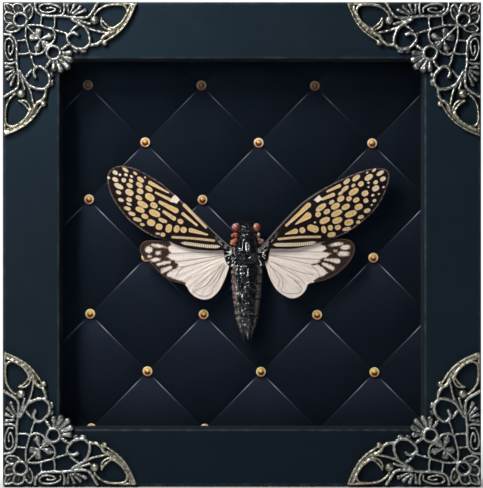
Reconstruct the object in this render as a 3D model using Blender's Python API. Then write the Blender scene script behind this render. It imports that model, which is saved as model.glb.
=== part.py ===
"""A spread cicada in a glazed box frame, on a diamond-tufted panel with gilt buttons.

The frame stands upright: X is its width, Z its height, and its front faces -Y.
"""

from math import cos, pi, radians, sin

import bmesh
import bpy
from mathutils import Vector, geometry

MM = 0.001
GAP = 0.3 * MM
SMOOTH_ANGLE = radians(40)

# Frame. Depths are measured backwards from the front face of the rails.
FRAME_WIDTH = 150 * MM
FRAME_HEIGHT = 152 * MM
FRAME_DEPTH = 30 * MM
RAIL_FACE = 17.8 * MM
REBATE = 4.0 * MM
LIP = 3.0 * MM
ARRIS = 0.5 * MM
WALL = RAIL_FACE - REBATE
INSET = WALL + GAP
SIDES = {
    "top": Vector((0, 1)),
    "right": Vector((1, 0)),
    "bottom": Vector((0, -1)),
    "left": Vector((-1, 0)),
}

# What stands in the rebate, from the front backwards.
GLASS_FRONT = LIP + GAP
GLASS_THICKNESS = 2.0 * MM
SPACER_FRONT = GLASS_FRONT + GLASS_THICKNESS + GAP
SPACER_BACK = 16.0 * MM
PANEL_CROWN = SPACER_BACK + GAP
PANEL_BACK = 21.0 * MM
BOARD_FRONT = PANEL_BACK + GAP
BOARD_THICKNESS = 3.0 * MM
BOARD_BACK = BOARD_FRONT + BOARD_THICKNESS

# Bent strips that hold the backboard, and the toothed strip that the frame hangs from.
TAB_WIDTH = 8 * MM
TAB_REACH = 7 * MM
TAB_THICKNESS = 0.8 * MM
TAB_END = FRAME_DEPTH - 1 * MM
HANGER_WIDTH = 32 * MM
HANGER_HEIGHT = 7 * MM
HANGER_THICKNESS = 1.0 * MM
HANGER_DROP = 26 * MM
HANGER_TEETH = 8
TOOTH_HEIGHT = 1.6 * MM
EAR = 5 * MM

# Tufting. The rows of buttons are staggered by half a column, and the cloth is pulled slightly askew.
COLUMN_STEP = Vector((36.4, -0.15)) * MM
ROW_STEP = Vector((0.18, -18.36)) * MM
TUFT_ORIGIN = Vector((5.75, 71.7)) * MM
CREASE_RISE = 1.2 * MM
PAD_RISE = 1.0 * MM
VALLEY = PANEL_CROWN + CREASE_RISE + PAD_RISE
PAD_STEPS = 4
PAD_ROWS = range(-5, 5)
PAD_COLUMNS = range(-3, 4)

BUTTON_RADIUS = 1.9 * MM
BUTTON_RIM = 17.7 * MM
BUTTON_TOP = 16.5 * MM
BUTTON_SIDES = 10
BUTTON_ROWS = {
    -3: (-1.5, -0.5, 0.5),
    -2: (-1, 0, 1),
    -1: (-1.5, -0.5, 0.5),
    0: (-1, 0, 1),
    1: (-1.5, -0.5, 0.5),
    2: (-1, 0, 1),
    3: (-1.5, -0.5),
}

# Cast corners, standing proud of the rails.
CASTING_THICKNESS = 1.4 * MM
BOSS_HEIGHT = 0.5 * MM
CASTING_BACK = -GAP
CASTING_FRONT = CASTING_BACK - CASTING_THICKNESS
CASTING_MIDDLE = (CASTING_BACK + CASTING_FRONT) / 2
BOSS_TOP = CASTING_FRONT - BOSS_HEIGHT

# The model is centred on the whole depth, from the bosses to the back of the rails.
FRONT_Y = -(FRAME_DEPTH + BOSS_TOP) / 2

# One half of a casting in millimetres: along the frame's edge from its corner, and inwards from it.
CASTING_HALF = [
    (0.3, 0.3), (9.3, 0.3), (9.9, 1.7), (10.6, 1.6), (11.4, 0.4), (16.6, 0.4), (17.6, 1.7), (17.4, 3.5),
    (18.5, 3.5), (19.1, 0.4), (25.4, 0.4), (26.0, 2.6), (24.9, 4.4), (27.4, 4.1), (28.5, 2.6), (29.2, 0.8),
    (30.3, 0.3), (41.7, 0.3), (42.3, 1.7), (42.2, 3.6), (41.4, 6.3), (39.6, 8.8), (36.8, 10.5),
    (34.3, 12.0), (33.6, 13.6), (32.5, 14.3), (31.2, 13.9), (30.2, 13.4), (28.5, 14.4), (27.1, 15.0),
    (25.6, 16.1), (24.4, 16.4), (23.0, 16.3), (23.8, 18.1), (23.6, 19.8), (22.5, 20.9),
]
CASTING_TIP = (21.9, 21.9)
CASTING_HOLES = [
    [(9.1, 4.7), (12.1, 4.8), (11.5, 7.0), (9.1, 6.8)],
    [(12.8, 5.4), (15.8, 5.4), (15.7, 7.6), (14.8, 7.7), (12.7, 7.0)],
    [
        (16.8, 6.1), (20.0, 5.8), (22.8, 6.1), (25.1, 7.4), (26.8, 9.7), (27.2, 12.0), (26.6, 13.5),
        (25.1, 14.0), (23.1, 13.7), (21.9, 12.5), (21.9, 11.1), (22.8, 10.4), (24.5, 10.1), (24.2, 9.4),
        (22.8, 9.3), (21.1, 9.8), (17.1, 8.8),
    ],
    [(17.0, 10.0), (19.7, 10.3), (19.7, 12.0), (18.8, 13.7), (18.0, 14.0), (16.8, 12.8)],
    [
        (30.6, 3.7), (31.6, 2.7), (34.2, 2.0), (37.3, 2.1), (39.0, 3.1), (39.5, 4.6), (39.0, 6.3),
        (37.9, 7.1), (35.9, 7.6), (34.2, 7.1), (31.9, 5.4),
    ],
    [(28.5, 10.1), (31.4, 10.5), (29.8, 12.5), (28.5, 12.5)],
]
RING_CENTRES = [(5.7, 5.7), (16.0, 16.0)]
RING_SIDES = 12
RING_HOLE = 1.3
RING_INNER = 1.55
RING_OUTER = 2.3
RING_BEVEL = 0.25
BEAD_CENTRES = [(28.9, 5.9), (5.9, 28.9)]
BEAD_RADIUS = 1.4
BEAD_SIDES = 8

# Specimen. Its points are in millimetres: across and up from its thorax, and behind the rails' face.
SPECIMEN = Vector((1.6, 74.05)) * MM

# Sections of the body from head to tail: height, half width, half depth, and depth of the middle.
HEAD_SECTIONS = [
    (9.4, 1.2, 0.6, 11.2), (9.0, 2.3, 1.5, 11.1), (8.1, 3.3, 2.3, 11.0), (7.0, 3.8, 2.8, 11.0),
    (5.9, 3.7, 2.9, 11.0), (5.75, 3.2, 2.5, 11.0),
]
COLLAR_SECTIONS = [
    (5.6, 4.0, 3.0, 11.0), (5.2, 4.7, 3.4, 11.0), (4.4, 4.9, 3.8, 11.0), (3.6, 4.6, 3.8, 11.0),
    (3.45, 2.8, 2.9, 11.0),
]
THORAX_SECTIONS = [
    (3.3, 2.9, 3.0, 11.0), (2.5, 3.5, 3.8, 11.0), (1.2, 3.8, 4.2, 11.0), (-0.5, 4.0, 4.3, 11.0),
    (-2.0, 4.2, 4.2, 11.0), (-3.4, 4.5, 3.8, 11.1), (-4.5, 4.7, 3.3, 11.2), (-4.65, 4.2, 2.9, 11.3),
]
# The abdomen's segments start at these sections, each one lapped over the next.
ABDOMEN_SEGMENTS = [
    (-4.8, 4.6, 3.1, 11.4), (-7.6, 5.0, 3.6, 11.3), (-10.5, 4.8, 3.6, 11.3), (-12.3, 4.6, 3.5, 11.4),
    (-15.2, 4.5, 3.4, 11.5), (-18.1, 4.1, 3.2, 11.7), (-20.7, 3.7, 2.9, 11.9), (-23.6, 3.1, 2.5, 12.2),
    (-25.6, 2.1, 1.9, 12.4), (-27.6, 1.3, 1.2, 12.7), (-29.1, 0.5, 0.5, 13.0),
]
SEGMENT_LAP = 0.12
BODY_SIDES = 12

# Centres and radii across, up and in depth.
EYE_CENTRES = [(-3.6, 7.3, 10.4), (3.4, 7.3, 10.4)]
EYE_RADII = (1.35, 1.35, 1.35)
LOBE_CENTRES = [(-4.75, 2.9, 10.4), (4.75, 2.9, 10.4)]
LOBE_RADII = (0.75, 1.5, 1.8)
EGG_SIDES = 10
EGG_LATITUDES = (75, 35, 0, -35, -75)

# Each leg runs across, backwards and up, from inside the thorax to its knee and foot.
LEG_RADIUS = 0.32
LEGS = {
    "front": [(2.0, 12.6, 2.0), (3.1, 15.3, 3.6), (2.4, 15.6, 6.0), (1.0, 15.7, 7.4)],
    "middle": [(2.4, 12.6, 0.0), (3.9, 15.2, -0.4), (3.4, 15.5, -2.8), (2.4, 15.7, -5.4)],
    "hind": [(1.8, 12.6, -2.0), (2.9, 15.4, -3.2), (1.9, 15.6, -7.0), (0.9, 15.7, -10.4)],
}

# Wing outlines, from the hinge along the leading edge to the tip and back.
WING_OUTLINES = {
    "forewing_left": [
        (-4.2, 0.8), (-6.0, 2.0), (-9.2, 4.9), (-13.3, 8.9), (-18.1, 13.4), (-22.9, 17.6), (-26.6, 20.8),
        (-30.8, 23.5), (-35.6, 25.9), (-40.0, 26.8), (-43.2, 25.6), (-44.3, 22.9), (-43.5, 18.4),
        (-41.3, 14.3), (-38.1, 10.2), (-34.9, 7.5), (-31.8, 5.4), (-28.3, 3.8), (-25.1, 3.0), (-21.3, 1.3),
        (-16.5, 0.2), (-10.2, -0.2), (-6.4, 0.1), (-4.3, 0.1),
    ],
    "forewing_right": [
        (4.2, 0.8), (6.7, 2.4), (9.8, 5.4), (13.7, 9.0), (18.4, 13.7), (23.2, 17.8), (27.9, 21.2),
        (32.7, 23.6), (38.4, 25.6), (42.2, 26.0), (44.7, 25.2), (45.2, 23.6), (44.8, 21.0), (43.2, 16.8),
        (40.6, 12.7), (36.5, 8.9), (32.1, 5.8), (27.9, 3.8), (24.8, 3.0), (20.0, 1.5), (15.2, 0.5),
        (10.5, 0.4), (6.9, 0.4), (4.3, 0.1),
    ],
    "hindwing_left": [
        (-4.5, -1.0), (-6.7, 0.3), (-13.3, 1.3), (-19.7, 2.4), (-25.1, 2.9), (-29.2, 3.0), (-32.4, 2.8),
        (-33.9, 1.2), (-33.9, -0.6), (-33.2, -1.9), (-30.8, -4.0), (-27.6, -7.4), (-24.4, -9.7),
        (-20.6, -10.7), (-19.1, -11.7), (-18.1, -13.4), (-16.2, -15.0), (-13.7, -15.8), (-11.1, -15.1),
        (-8.7, -12.7), (-6.8, -8.9), (-5.5, -4.9), (-4.8, -2.6),
    ],
    "hindwing_right": [
        (4.5, -0.9), (7.3, 0.5), (13.7, 0.9), (18.4, 1.5), (23.2, 2.5), (27.4, 3.3), (31.1, 3.5),
        (33.5, 2.6), (34.4, 0.4), (33.3, -2.9), (31.1, -5.5), (27.9, -8.1), (24.4, -9.7), (21.3, -10.3),
        (19.5, -10.9), (18.7, -12.8), (16.8, -14.7), (14.3, -15.4), (11.7, -14.4), (9.2, -12.3),
        (7.3, -8.9), (6.1, -5.2), (4.9, -2.6),
    ],
}
WING_HALF_THICKNESS = 0.2
WING_NET = 5.5
FOREWING_DEPTH = 8.9
HINDWING_DEPTH = 10.5
WING_DROOP = 0.020

# The wings curve back from a middle line. The forewing's climbs along the span, the hindwing's is level.
FORE_LINE_START = -1.5
FORE_LINE_SLOPE = 0.52
FORE_HALF_CHORD = 9.0
FORE_CAMBER = 0.9
HIND_LINE = -3.0
HIND_HALF_CHORD = 12.0
HIND_CAMBER = 0.7


# Tools


def clear_scene():
    for obj in list(bpy.data.objects):
        bpy.data.objects.remove(obj)


def material(name, colour, roughness, metallic=0.0, alpha=1.0):
    made = bpy.data.materials.new(name)
    made.use_nodes = True
    shader = made.node_tree.nodes["Principled BSDF"]
    shader.inputs["Base Color"].default_value = (*colour, 1.0)
    shader.inputs["Roughness"].default_value = roughness
    shader.inputs["Metallic"].default_value = metallic
    shader.inputs["Alpha"].default_value = alpha
    made.diffuse_color = (*colour, alpha)
    return made


def link_object(name, mesh, surface=None):
    if surface:
        mesh.materials.clear()
        mesh.materials.append(surface)
    obj = bpy.data.objects.new(name, mesh)
    bpy.context.collection.objects.link(obj)
    return obj


def add_object(name, bm, surface=None, smooth=False):
    """Makes the bmesh an object, with its faces pointing out."""
    bmesh.ops.recalc_face_normals(bm, faces=bm.faces)
    mesh = bpy.data.meshes.new(name)
    bm.to_mesh(mesh)
    bm.free()
    if smooth:
        mesh.shade_smooth()
        mesh.set_sharp_from_angle(angle=SMOOTH_ANGLE)
    return link_object(name, mesh, surface)


def boolean(obj, tool, operation):
    """Joins or cuts with a second object, which stays in the scene as a hidden tool."""
    tool.hide_render = True
    tool.display_type = "WIRE"
    modifier = obj.modifiers.new(f"{operation.lower()} {tool.name}", "BOOLEAN")
    modifier.operation = operation
    modifier.solver = "EXACT"
    modifier.object = tool


def evaluated_mesh(obj):
    bpy.context.view_layer.update()
    return bpy.data.meshes.new_from_object(obj.evaluated_get(bpy.context.evaluated_depsgraph_get()))


def at_depth(depth):
    """The Y of a depth behind the front face of the rails."""
    return FRONT_Y + depth


def skin(bm, first, second):
    """A band of faces between two rings of vertices."""
    count = len(first)
    for i in range(count):
        j = (i + 1) % count
        bm.faces.new((first[i], first[j], second[j], second[i]))


def loft(loops):
    """A closed body through loops of equal length."""
    bm = bmesh.new()
    rings = [[bm.verts.new(point) for point in loop] for loop in loops]
    for first, second in zip(rings, rings[1:]):
        skin(bm, first, second)
    bm.faces.new(rings[0])
    bm.faces.new(rings[-1])
    return bm


def circle(x, z, radius, depth, sides):
    """A loop of points in the plane of the frame."""
    turns = [2 * pi * i / sides for i in range(sides)]
    return [(x + radius * cos(turn), at_depth(depth), z + radius * sin(turn)) for turn in turns]


def box(name, x_range, depths, z_range, surface=None):
    (low_x, high_x), (low_z, high_z) = x_range, z_range
    corners = [(low_x, low_z), (high_x, low_z), (high_x, high_z), (low_x, high_z)]
    bm = loft([[(x, at_depth(depth), z) for x, z in corners] for depth in depths])
    return add_object(name, bm, surface)


def across_frame(margin):
    """The X range between the two sides, less a margin at each."""
    return (margin - FRAME_WIDTH / 2, FRAME_WIDTH / 2 - margin)


def up_frame(margin):
    return (margin, FRAME_HEIGHT - margin)


def is_inside(spot, loop):
    """Whether a point lies in a closed loop, by counting the edges to one side of it."""
    crossings = 0
    for (x1, z1), (x2, z2) in zip(loop, loop[1:] + loop[:1]):
        if (z1 > spot.y) != (z2 > spot.y) and spot.x < x1 + (spot.y - z1) * (x2 - x1) / (z2 - z1):
            crossings += 1
    return crossings % 2 == 1


def flat_net(loops, extra=()):
    """Points and triangles between an outer loop and its holes, through any extra points."""
    points, edges = [], []
    for loop in loops:
        first, count = len(points), len(loop)
        points += [Vector(point) for point in loop]
        edges += [(first + i, first + (i + 1) % count) for i in range(count)]
    found = geometry.delaunay_2d_cdt(points + list(extra), edges, [], 0, 1e-4)
    points, faces = found[0], found[2]
    kept = []
    for face in faces:
        middle = sum((points[i] for i in face), Vector((0, 0))) / len(face)
        if sum(is_inside(middle, loop) for loop in loops) == 1:
            kept.append(face)
    return points, kept


def thick_net(net, front, back):
    """A solid between two copies of a flat net, each laid out by its own function."""
    points, faces = net
    bm = bmesh.new()
    layers = [[bm.verts.new(lay(point)) for point in points] for lay in (front, back)]
    for face in faces:
        bm.faces.new([layers[0][i] for i in face])
        bm.faces.new([layers[1][i] for i in reversed(face)])
    number = {vertex: i for i, vertex in enumerate(layers[0])}
    rim = [edge.verts[:] for edge in bm.edges if edge.is_boundary and edge.verts[0] in number]
    for first, second in rim:
        i, j = number[first], number[second]
        bm.faces.new((layers[0][i], layers[0][j], layers[1][j], layers[1][i]))
    loose = [vertex for vertex in bm.verts if not vertex.link_faces]
    bmesh.ops.delete(bm, geom=loose, context="VERTS")
    return bm


# Frame and back


def side_point(side, inward, along, depth):
    """A point on one side of the frame, inwards from its outer edge and along from its middle."""
    reach = FRAME_WIDTH / 2 if side.x else FRAME_HEIGHT / 2
    spot = side * (reach - inward) + Vector((-side.y, side.x)) * along
    return (spot.x, at_depth(depth), FRAME_HEIGHT / 2 + spot.y)


def add_rails():
    """Mitred, rebated rails with eased front edges."""
    paint = material("blue-black satin paint", (0.013, 0.023, 0.033), 0.42)
    profile = [
        (0, ARRIS), (ARRIS, 0), (RAIL_FACE - ARRIS, 0), (RAIL_FACE, ARRIS), (RAIL_FACE, LIP), (WALL, LIP),
        (WALL, FRAME_DEPTH), (0, FRAME_DEPTH),
    ]
    for name, side in SIDES.items():
        half_length = (FRAME_HEIGHT if side.x else FRAME_WIDTH) / 2 - GAP / 2
        ends = [
            [side_point(side, inward, end * (half_length - inward), depth) for inward, depth in profile]
            for end in (-1, 1)
        ]
        add_object(f"rail_{name}", loft(ends), paint)


def add_glass():
    glass = material("clear glass", (0.95, 0.98, 0.97), 0.05, alpha=0.12)
    depths = (GLASS_FRONT, GLASS_FRONT + GLASS_THICKNESS)
    box("glass_pane", across_frame(INSET), depths, up_frame(INSET), glass)


def add_spacers():
    """Strips flush with the sight edge. The upright ones stand between the level ones."""
    paint = material("spacer paint", (0.010, 0.016, 0.024), 0.6)
    depths = (SPACER_FRONT, SPACER_BACK)
    low_x, high_x = across_frame(INSET)
    low_z, high_z = up_frame(INSET)
    thickness = RAIL_FACE - INSET
    upright = (low_z + thickness + GAP, high_z - thickness - GAP)
    box("spacer_bottom", (low_x, high_x), depths, (low_z, low_z + thickness), paint)
    box("spacer_top", (low_x, high_x), depths, (high_z - thickness, high_z), paint)
    box("spacer_left", (low_x, low_x + thickness), depths, upright, paint)
    box("spacer_right", (high_x - thickness, high_x), depths, upright, paint)


def add_backboard():
    board = material("brown fibreboard", (0.16, 0.10, 0.06), 0.85)
    box("backboard", across_frame(INSET), (BOARD_FRONT, BOARD_BACK), up_frame(INSET), board)


def add_retaining_tabs():
    """Bent strips: one leg lies on the rail's inner wall, the other on the backboard."""
    steel = material("zinced steel", (0.45, 0.46, 0.47), 0.4, metallic=1.0)
    foot = BOARD_BACK + GAP
    profile = [
        (INSET, foot), (INSET + TAB_REACH, foot), (INSET + TAB_REACH, foot + TAB_THICKNESS),
        (INSET + TAB_THICKNESS, foot + TAB_THICKNESS), (INSET + TAB_THICKNESS, TAB_END), (INSET, TAB_END),
    ]
    for name, side in SIDES.items():
        ends = [
            [side_point(side, inward, end * TAB_WIDTH / 2, depth) for inward, depth in profile]
            for end in (-1, 1)
        ]
        add_object(f"retaining_tab_{name}", loft(ends), steel)


def add_hanger():
    """A strip with a row of teeth along its lower edge, flat on the backboard near the top."""
    brass = material("hanger brass", (0.60, 0.42, 0.16), 0.35, metallic=1.0)
    top = FRAME_HEIGHT - HANGER_DROP
    low = top - HANGER_HEIGHT
    half = HANGER_WIDTH / 2
    pitch = (HANGER_WIDTH - 2 * EAR) / HANGER_TEETH
    outline = [(half, low), (half, top), (-half, top), (-half, low), (EAR - half, low)]
    for tooth in range(HANGER_TEETH):
        start = EAR - half + tooth * pitch
        outline.append((start + pitch / 2, low + TOOTH_HEIGHT))
        outline.append((start + pitch, low))
    front = BOARD_BACK + GAP
    faces = [[(x, at_depth(depth), z) for x, z in outline] for depth in (front, front + HANGER_THICKNESS)]
    add_object("hanger", loft(faces), brass)


# Tufted panel and buttons


def tuft_point(row, column):
    """A button's place. Rows count down and columns to the right, by halves on staggered rows."""
    return TUFT_ORIGIN + COLUMN_STEP * column + ROW_STEP * row


def pad_depth(u, v):
    """The depth of the padding inside one diamond, whose buttons are at the corners of u and v."""
    along, over = sin(pi * u), sin(pi * v)
    pillow = along * over
    return VALLEY - CREASE_RISE * (along + over - pillow) - PAD_RISE * pillow


def add_pad(bm, top):
    """One diamond of the padding, between its four buttons."""
    right = COLUMN_STEP / 2 + ROW_STEP
    left = ROW_STEP - COLUMN_STEP / 2
    steps = [i / PAD_STEPS for i in range(PAD_STEPS + 1)]
    grid = []
    for u in steps:
        places = [top + right * u + left * v for v in steps]
        grid.append([bm.verts.new((p.x, at_depth(pad_depth(u, v)), p.y)) for p, v in zip(places, steps)])
    for first, second in zip(grid, grid[1:]):
        for j in range(PAD_STEPS):
            bm.faces.new((first[j], second[j], second[j + 1], first[j + 1]))


def add_panel():
    """Padding over a flat back, cut from a larger sheet of diamonds."""
    cloth = material("blue-black padded cloth", (0.008, 0.010, 0.016), 0.55)
    bm = bmesh.new()
    for row in PAD_ROWS:
        for column in PAD_COLUMNS:
            add_pad(bm, tuft_point(row, column + (row % 2) / 2))
    bmesh.ops.remove_doubles(bm, verts=bm.verts, dist=0.01 * MM)
    made = bmesh.ops.extrude_face_region(bm, geom=bm.faces[:])["geom"]
    for vertex in (item for item in made if isinstance(item, bmesh.types.BMVert)):
        vertex.co.y = at_depth(PANEL_BACK)
    panel = add_object("tufted_panel", bm, cloth, smooth=True)
    depths = (SPACER_BACK, PANEL_BACK + REBATE)
    boolean(panel, box("panel outline", across_frame(INSET), depths, up_frame(INSET)), "INTERSECT")


def add_buttons():
    """Flat-backed domes at the corners of the diamonds."""
    gilt = material("gilt brass", (0.83, 0.50, 0.16), 0.25, metallic=1.0)
    turns = [radians(degrees) for degrees in (0, 30, 60, 82)]
    height = BUTTON_RIM - BUTTON_TOP
    profile = [(BUTTON_RADIUS * cos(turn), BUTTON_RIM - height * sin(turn)) for turn in turns]
    for row, columns in BUTTON_ROWS.items():
        for number, column in enumerate(columns, 1):
            spot = tuft_point(row, column)
            loops = [circle(spot.x, spot.y, radius, depth, BUTTON_SIDES) for radius, depth in profile]
            add_object(f"button_{row + 4}_{number}", loft(loops), gilt, smooth=True)


# Cast corners


def mirrored(points):
    return [(inward, along) for along, inward in points]


def casting_loops():
    """The outline, then every hole on both sides of the diagonal."""
    loops = [CASTING_HALF + [CASTING_TIP] + mirrored(CASTING_HALF[:0:-1])]
    for hole in CASTING_HOLES:
        loops += [hole, mirrored(hole)]
    turns = [2 * pi * (i + 0.5) / RING_SIDES for i in range(RING_SIDES)]
    for x, z in RING_CENTRES:
        loops.append([(x + RING_HOLE * cos(turn), z + RING_HOLE * sin(turn)) for turn in turns])
    return loops


def ring_boss(name, x, z):
    """A raised collar round one of the ring holes, sunk into the plate below it."""
    section = [
        (RING_OUTER, CASTING_MIDDLE), (RING_OUTER - RING_BEVEL, BOSS_TOP),
        (RING_INNER + RING_BEVEL, BOSS_TOP), (RING_INNER, CASTING_MIDDLE),
    ]
    bm = bmesh.new()
    loops = [circle(x * MM, -z * MM, radius * MM, depth, RING_SIDES) for radius, depth in section]
    rings = [[bm.verts.new(point) for point in loop] for loop in loops]
    for first, second in zip(rings, rings[1:] + rings[:1]):
        skin(bm, first, second)
    return add_object(name, bm)


def bead_boss(name, x, z):
    """A bead on the scroll, sunk into the plate below it."""
    turns = [radians(degrees) for degrees in (0, 35, 75)]
    rise = CASTING_MIDDLE - BOSS_TOP
    loops = [
        circle(x * MM, -z * MM, BEAD_RADIUS * MM * cos(turn), CASTING_MIDDLE - rise * sin(turn), BEAD_SIDES)
        for turn in turns
    ]
    return add_object(name, loft(loops))


def casting_mesh():
    """One openwork casting, with its outer corner at the top left and at the origin."""
    plate = add_object(
        "casting plate",
        thick_net(
            flat_net(casting_loops()),
            lambda point: (point.x * MM, at_depth(CASTING_FRONT), -point.y * MM),
            lambda point: (point.x * MM, at_depth(CASTING_BACK), -point.y * MM),
        ),
    )
    tools = [ring_boss(f"ring {i}", *centre) for i, centre in enumerate(RING_CENTRES)]
    tools += [bead_boss(f"bead {i}", *centre) for i, centre in enumerate(BEAD_CENTRES)]
    for tool in tools:
        boolean(plate, tool, "UNION")
    mesh = evaluated_mesh(plate)
    for obj in [plate] + tools:
        bpy.data.objects.remove(obj)
    return mesh


def add_castings():
    """Four copies, each turned to its own corner."""
    pewter = material("antique pewter", (0.30, 0.29, 0.24), 0.45, metallic=1.0)
    mesh = casting_mesh()
    low_x, high_x = across_frame(0)
    corners = {
        "top_left": (low_x, FRAME_HEIGHT),
        "top_right": (high_x, FRAME_HEIGHT),
        "bottom_right": (high_x, 0),
        "bottom_left": (low_x, 0),
    }
    for quarter, (name, (x, z)) in enumerate(corners.items()):
        casting = link_object(f"corner_{name}", mesh, pewter)
        casting.location = (x, 0, z)
        casting.rotation_euler.y = quarter * pi / 2


# Cicada


def specimen_point(across, depth, up):
    return (SPECIMEN.x + across * MM, at_depth(depth * MM), SPECIMEN.y + up * MM)


def body_loop(up, half_width, half_depth, depth, across=0.0, sides=BODY_SIDES):
    turns = [2 * pi * i / sides for i in range(sides)]
    return [specimen_point(across + half_width * cos(t), depth + half_depth * sin(t), up) for t in turns]


def egg(name, centre, radii):
    """A rounded lump on the body."""
    across, up, depth = centre
    wide, tall, deep = radii
    loops = []
    for turn in map(radians, EGG_LATITUDES):
        size = cos(turn)
        loops.append(body_loop(up + tall * sin(turn), wide * size, deep * size, depth, across, EGG_SIDES))
    return add_object(name, loft(loops))


def leg(name, route, side):
    """A jointed leg, as a bevelled curve made into a mesh."""
    curve = bpy.data.curves.new(name, "CURVE")
    curve.dimensions = "3D"
    curve.bevel_depth = LEG_RADIUS * MM
    curve.bevel_resolution = 1
    curve.use_fill_caps = True
    spline = curve.splines.new("POLY")
    spline.points.add(len(route) - 1)
    for point, (across, depth, up) in zip(spline.points, route):
        point.co = (*specimen_point(side * across, depth, up), 1)
    guide = bpy.data.objects.new(name, curve)
    bpy.context.collection.objects.link(guide)
    mesh = evaluated_mesh(guide)
    bpy.data.objects.remove(guide)
    bm = bmesh.new()
    bm.from_mesh(mesh)
    bmesh.ops.remove_doubles(bm, verts=bm.verts, dist=0.001 * MM)
    return add_object(name, bm)


def abdomen_sections():
    """Telescoping segments, each a little wider at its rear edge than where the next one starts."""
    sections = []
    for start, end in zip(ABDOMEN_SEGMENTS, ABDOMEN_SEGMENTS[1:]):
        up, half_width, half_depth, depth = start
        sections.append((up, half_width - SEGMENT_LAP, half_depth - SEGMENT_LAP, depth))
        up, half_width, half_depth, depth = end
        sections.append((up + SEGMENT_LAP, half_width + SEGMENT_LAP, half_depth + SEGMENT_LAP, depth))
    return sections


def add_body():
    """The body from head to tail as one solid, with its eyes, side lobes and folded legs."""
    chitin = material("glossy black chitin", (0.010, 0.010, 0.012), 0.2)
    sections = HEAD_SECTIONS + COLLAR_SECTIONS + THORAX_SECTIONS + abdomen_sections()
    body = add_object("body", loft([body_loop(*section) for section in sections]), chitin, smooth=True)
    for kind, centres, radii in (("eye", EYE_CENTRES, EYE_RADII), ("lobe", LOBE_CENTRES, LOBE_RADII)):
        for name, centre in zip(("left", "right"), centres):
            boolean(body, egg(f"{name} {kind}", centre, radii), "UNION")
    for pair, route in LEGS.items():
        for name, side in (("left", -1), ("right", 1)):
            boolean(body, leg(f"{pair} {name} leg", route, side), "UNION")


def smooth_outline(points, steps):
    """A closed curve through every point, by uniform Catmull-Rom spans."""
    count = len(points)
    curve = []
    for i in range(count):
        before, start, end, after = (Vector(points[(i + k) % count]) for k in (-1, 0, 1, 2))
        for step in range(steps):
            t = step / steps
            cubic = 3 * start - before - 3 * end + after
            square = 2 * before - 5 * start + 4 * end - after
            curve.append((2 * start + (end - before) * t + square * t**2 + cubic * t**3) / 2)
    return curve


def forewing_depth(point):
    """The forewing dips towards its tip, and along both edges of its chord."""
    span = abs(point.x)
    offset = (point.y - FORE_LINE_SLOPE * span - FORE_LINE_START) / FORE_HALF_CHORD
    return FOREWING_DEPTH + WING_DROOP * span + FORE_CAMBER * min(offset**2, 1.0)


def hindwing_depth(point):
    """The hindwing lies behind the forewing, and dips towards its lobe."""
    offset = (point.y - HIND_LINE) / HIND_HALF_CHORD
    return HINDWING_DEPTH + WING_DROOP * abs(point.x) + HIND_CAMBER * offset**2


def add_wing(name, depth_of, surface):
    """A thin curved sheet, filled in from its outline and a few points inside it."""
    edge = smooth_outline(WING_OUTLINES[name], 2)
    low = Vector((min(point.x for point in edge), min(point.y for point in edge)))
    high = Vector((max(point.x for point in edge), max(point.y for point in edge)))
    inner = []
    for i in range(int((high.x - low.x) / WING_NET)):
        for j in range(int((high.y - low.y) / WING_NET)):
            spot = low + Vector((i + 0.7, j + 0.7)) * WING_NET
            if min((spot - point).length for point in edge) > WING_NET * 0.45:
                inner.append(spot)

    def layer(offset):
        return lambda point: specimen_point(point.x, depth_of(point) + offset, point.y)

    net = flat_net([edge], inner)
    bm = thick_net(net, layer(-WING_HALF_THICKNESS), layer(WING_HALF_THICKNESS))
    add_object(name, bm, surface, smooth=True)


def add_wings():
    net = material("brown wing with cream cells", (0.16, 0.10, 0.05), 0.45)
    pale = material("pinkish white wing", (0.62, 0.52, 0.47), 0.5)
    for side in ("left", "right"):
        add_wing(f"forewing_{side}", forewing_depth, net)
        add_wing(f"hindwing_{side}", hindwing_depth, pale)


def main():
    clear_scene()
    add_rails()
    add_glass()
    add_spacers()
    add_panel()
    add_buttons()
    add_backboard()
    add_retaining_tabs()
    add_hanger()
    add_castings()
    add_body()
    add_wings()


main()
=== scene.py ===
"""Looks of a spread cicada in a glazed box frame: finishes, fine relief, light and camera.

Places on the insect are millimetres across and up from its thorax. Depths are millimetres behind
the rails' front face. Places on a cast corner are millimetres along and inwards from its corner.
"""

from math import atan2, cos, hypot, pi, radians, sin

import bmesh
import bpy
import numpy as np
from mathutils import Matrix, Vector


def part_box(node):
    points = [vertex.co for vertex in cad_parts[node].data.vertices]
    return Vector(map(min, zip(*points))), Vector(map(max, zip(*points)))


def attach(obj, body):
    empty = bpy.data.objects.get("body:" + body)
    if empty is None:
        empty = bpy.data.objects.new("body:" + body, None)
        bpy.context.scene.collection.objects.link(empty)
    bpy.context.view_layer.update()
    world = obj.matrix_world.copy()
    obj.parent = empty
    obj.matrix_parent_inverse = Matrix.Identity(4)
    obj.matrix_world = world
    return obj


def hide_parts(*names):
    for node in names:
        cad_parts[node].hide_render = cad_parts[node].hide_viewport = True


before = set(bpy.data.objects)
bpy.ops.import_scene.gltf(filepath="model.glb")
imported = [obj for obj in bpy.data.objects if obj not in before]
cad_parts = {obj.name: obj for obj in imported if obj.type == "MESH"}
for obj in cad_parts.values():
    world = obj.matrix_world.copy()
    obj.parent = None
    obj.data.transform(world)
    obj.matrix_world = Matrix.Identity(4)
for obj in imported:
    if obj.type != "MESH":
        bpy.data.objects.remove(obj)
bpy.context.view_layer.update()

MM = 0.001
ROOT = "root"
SIDES = {"left": -1, "right": 1}

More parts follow.
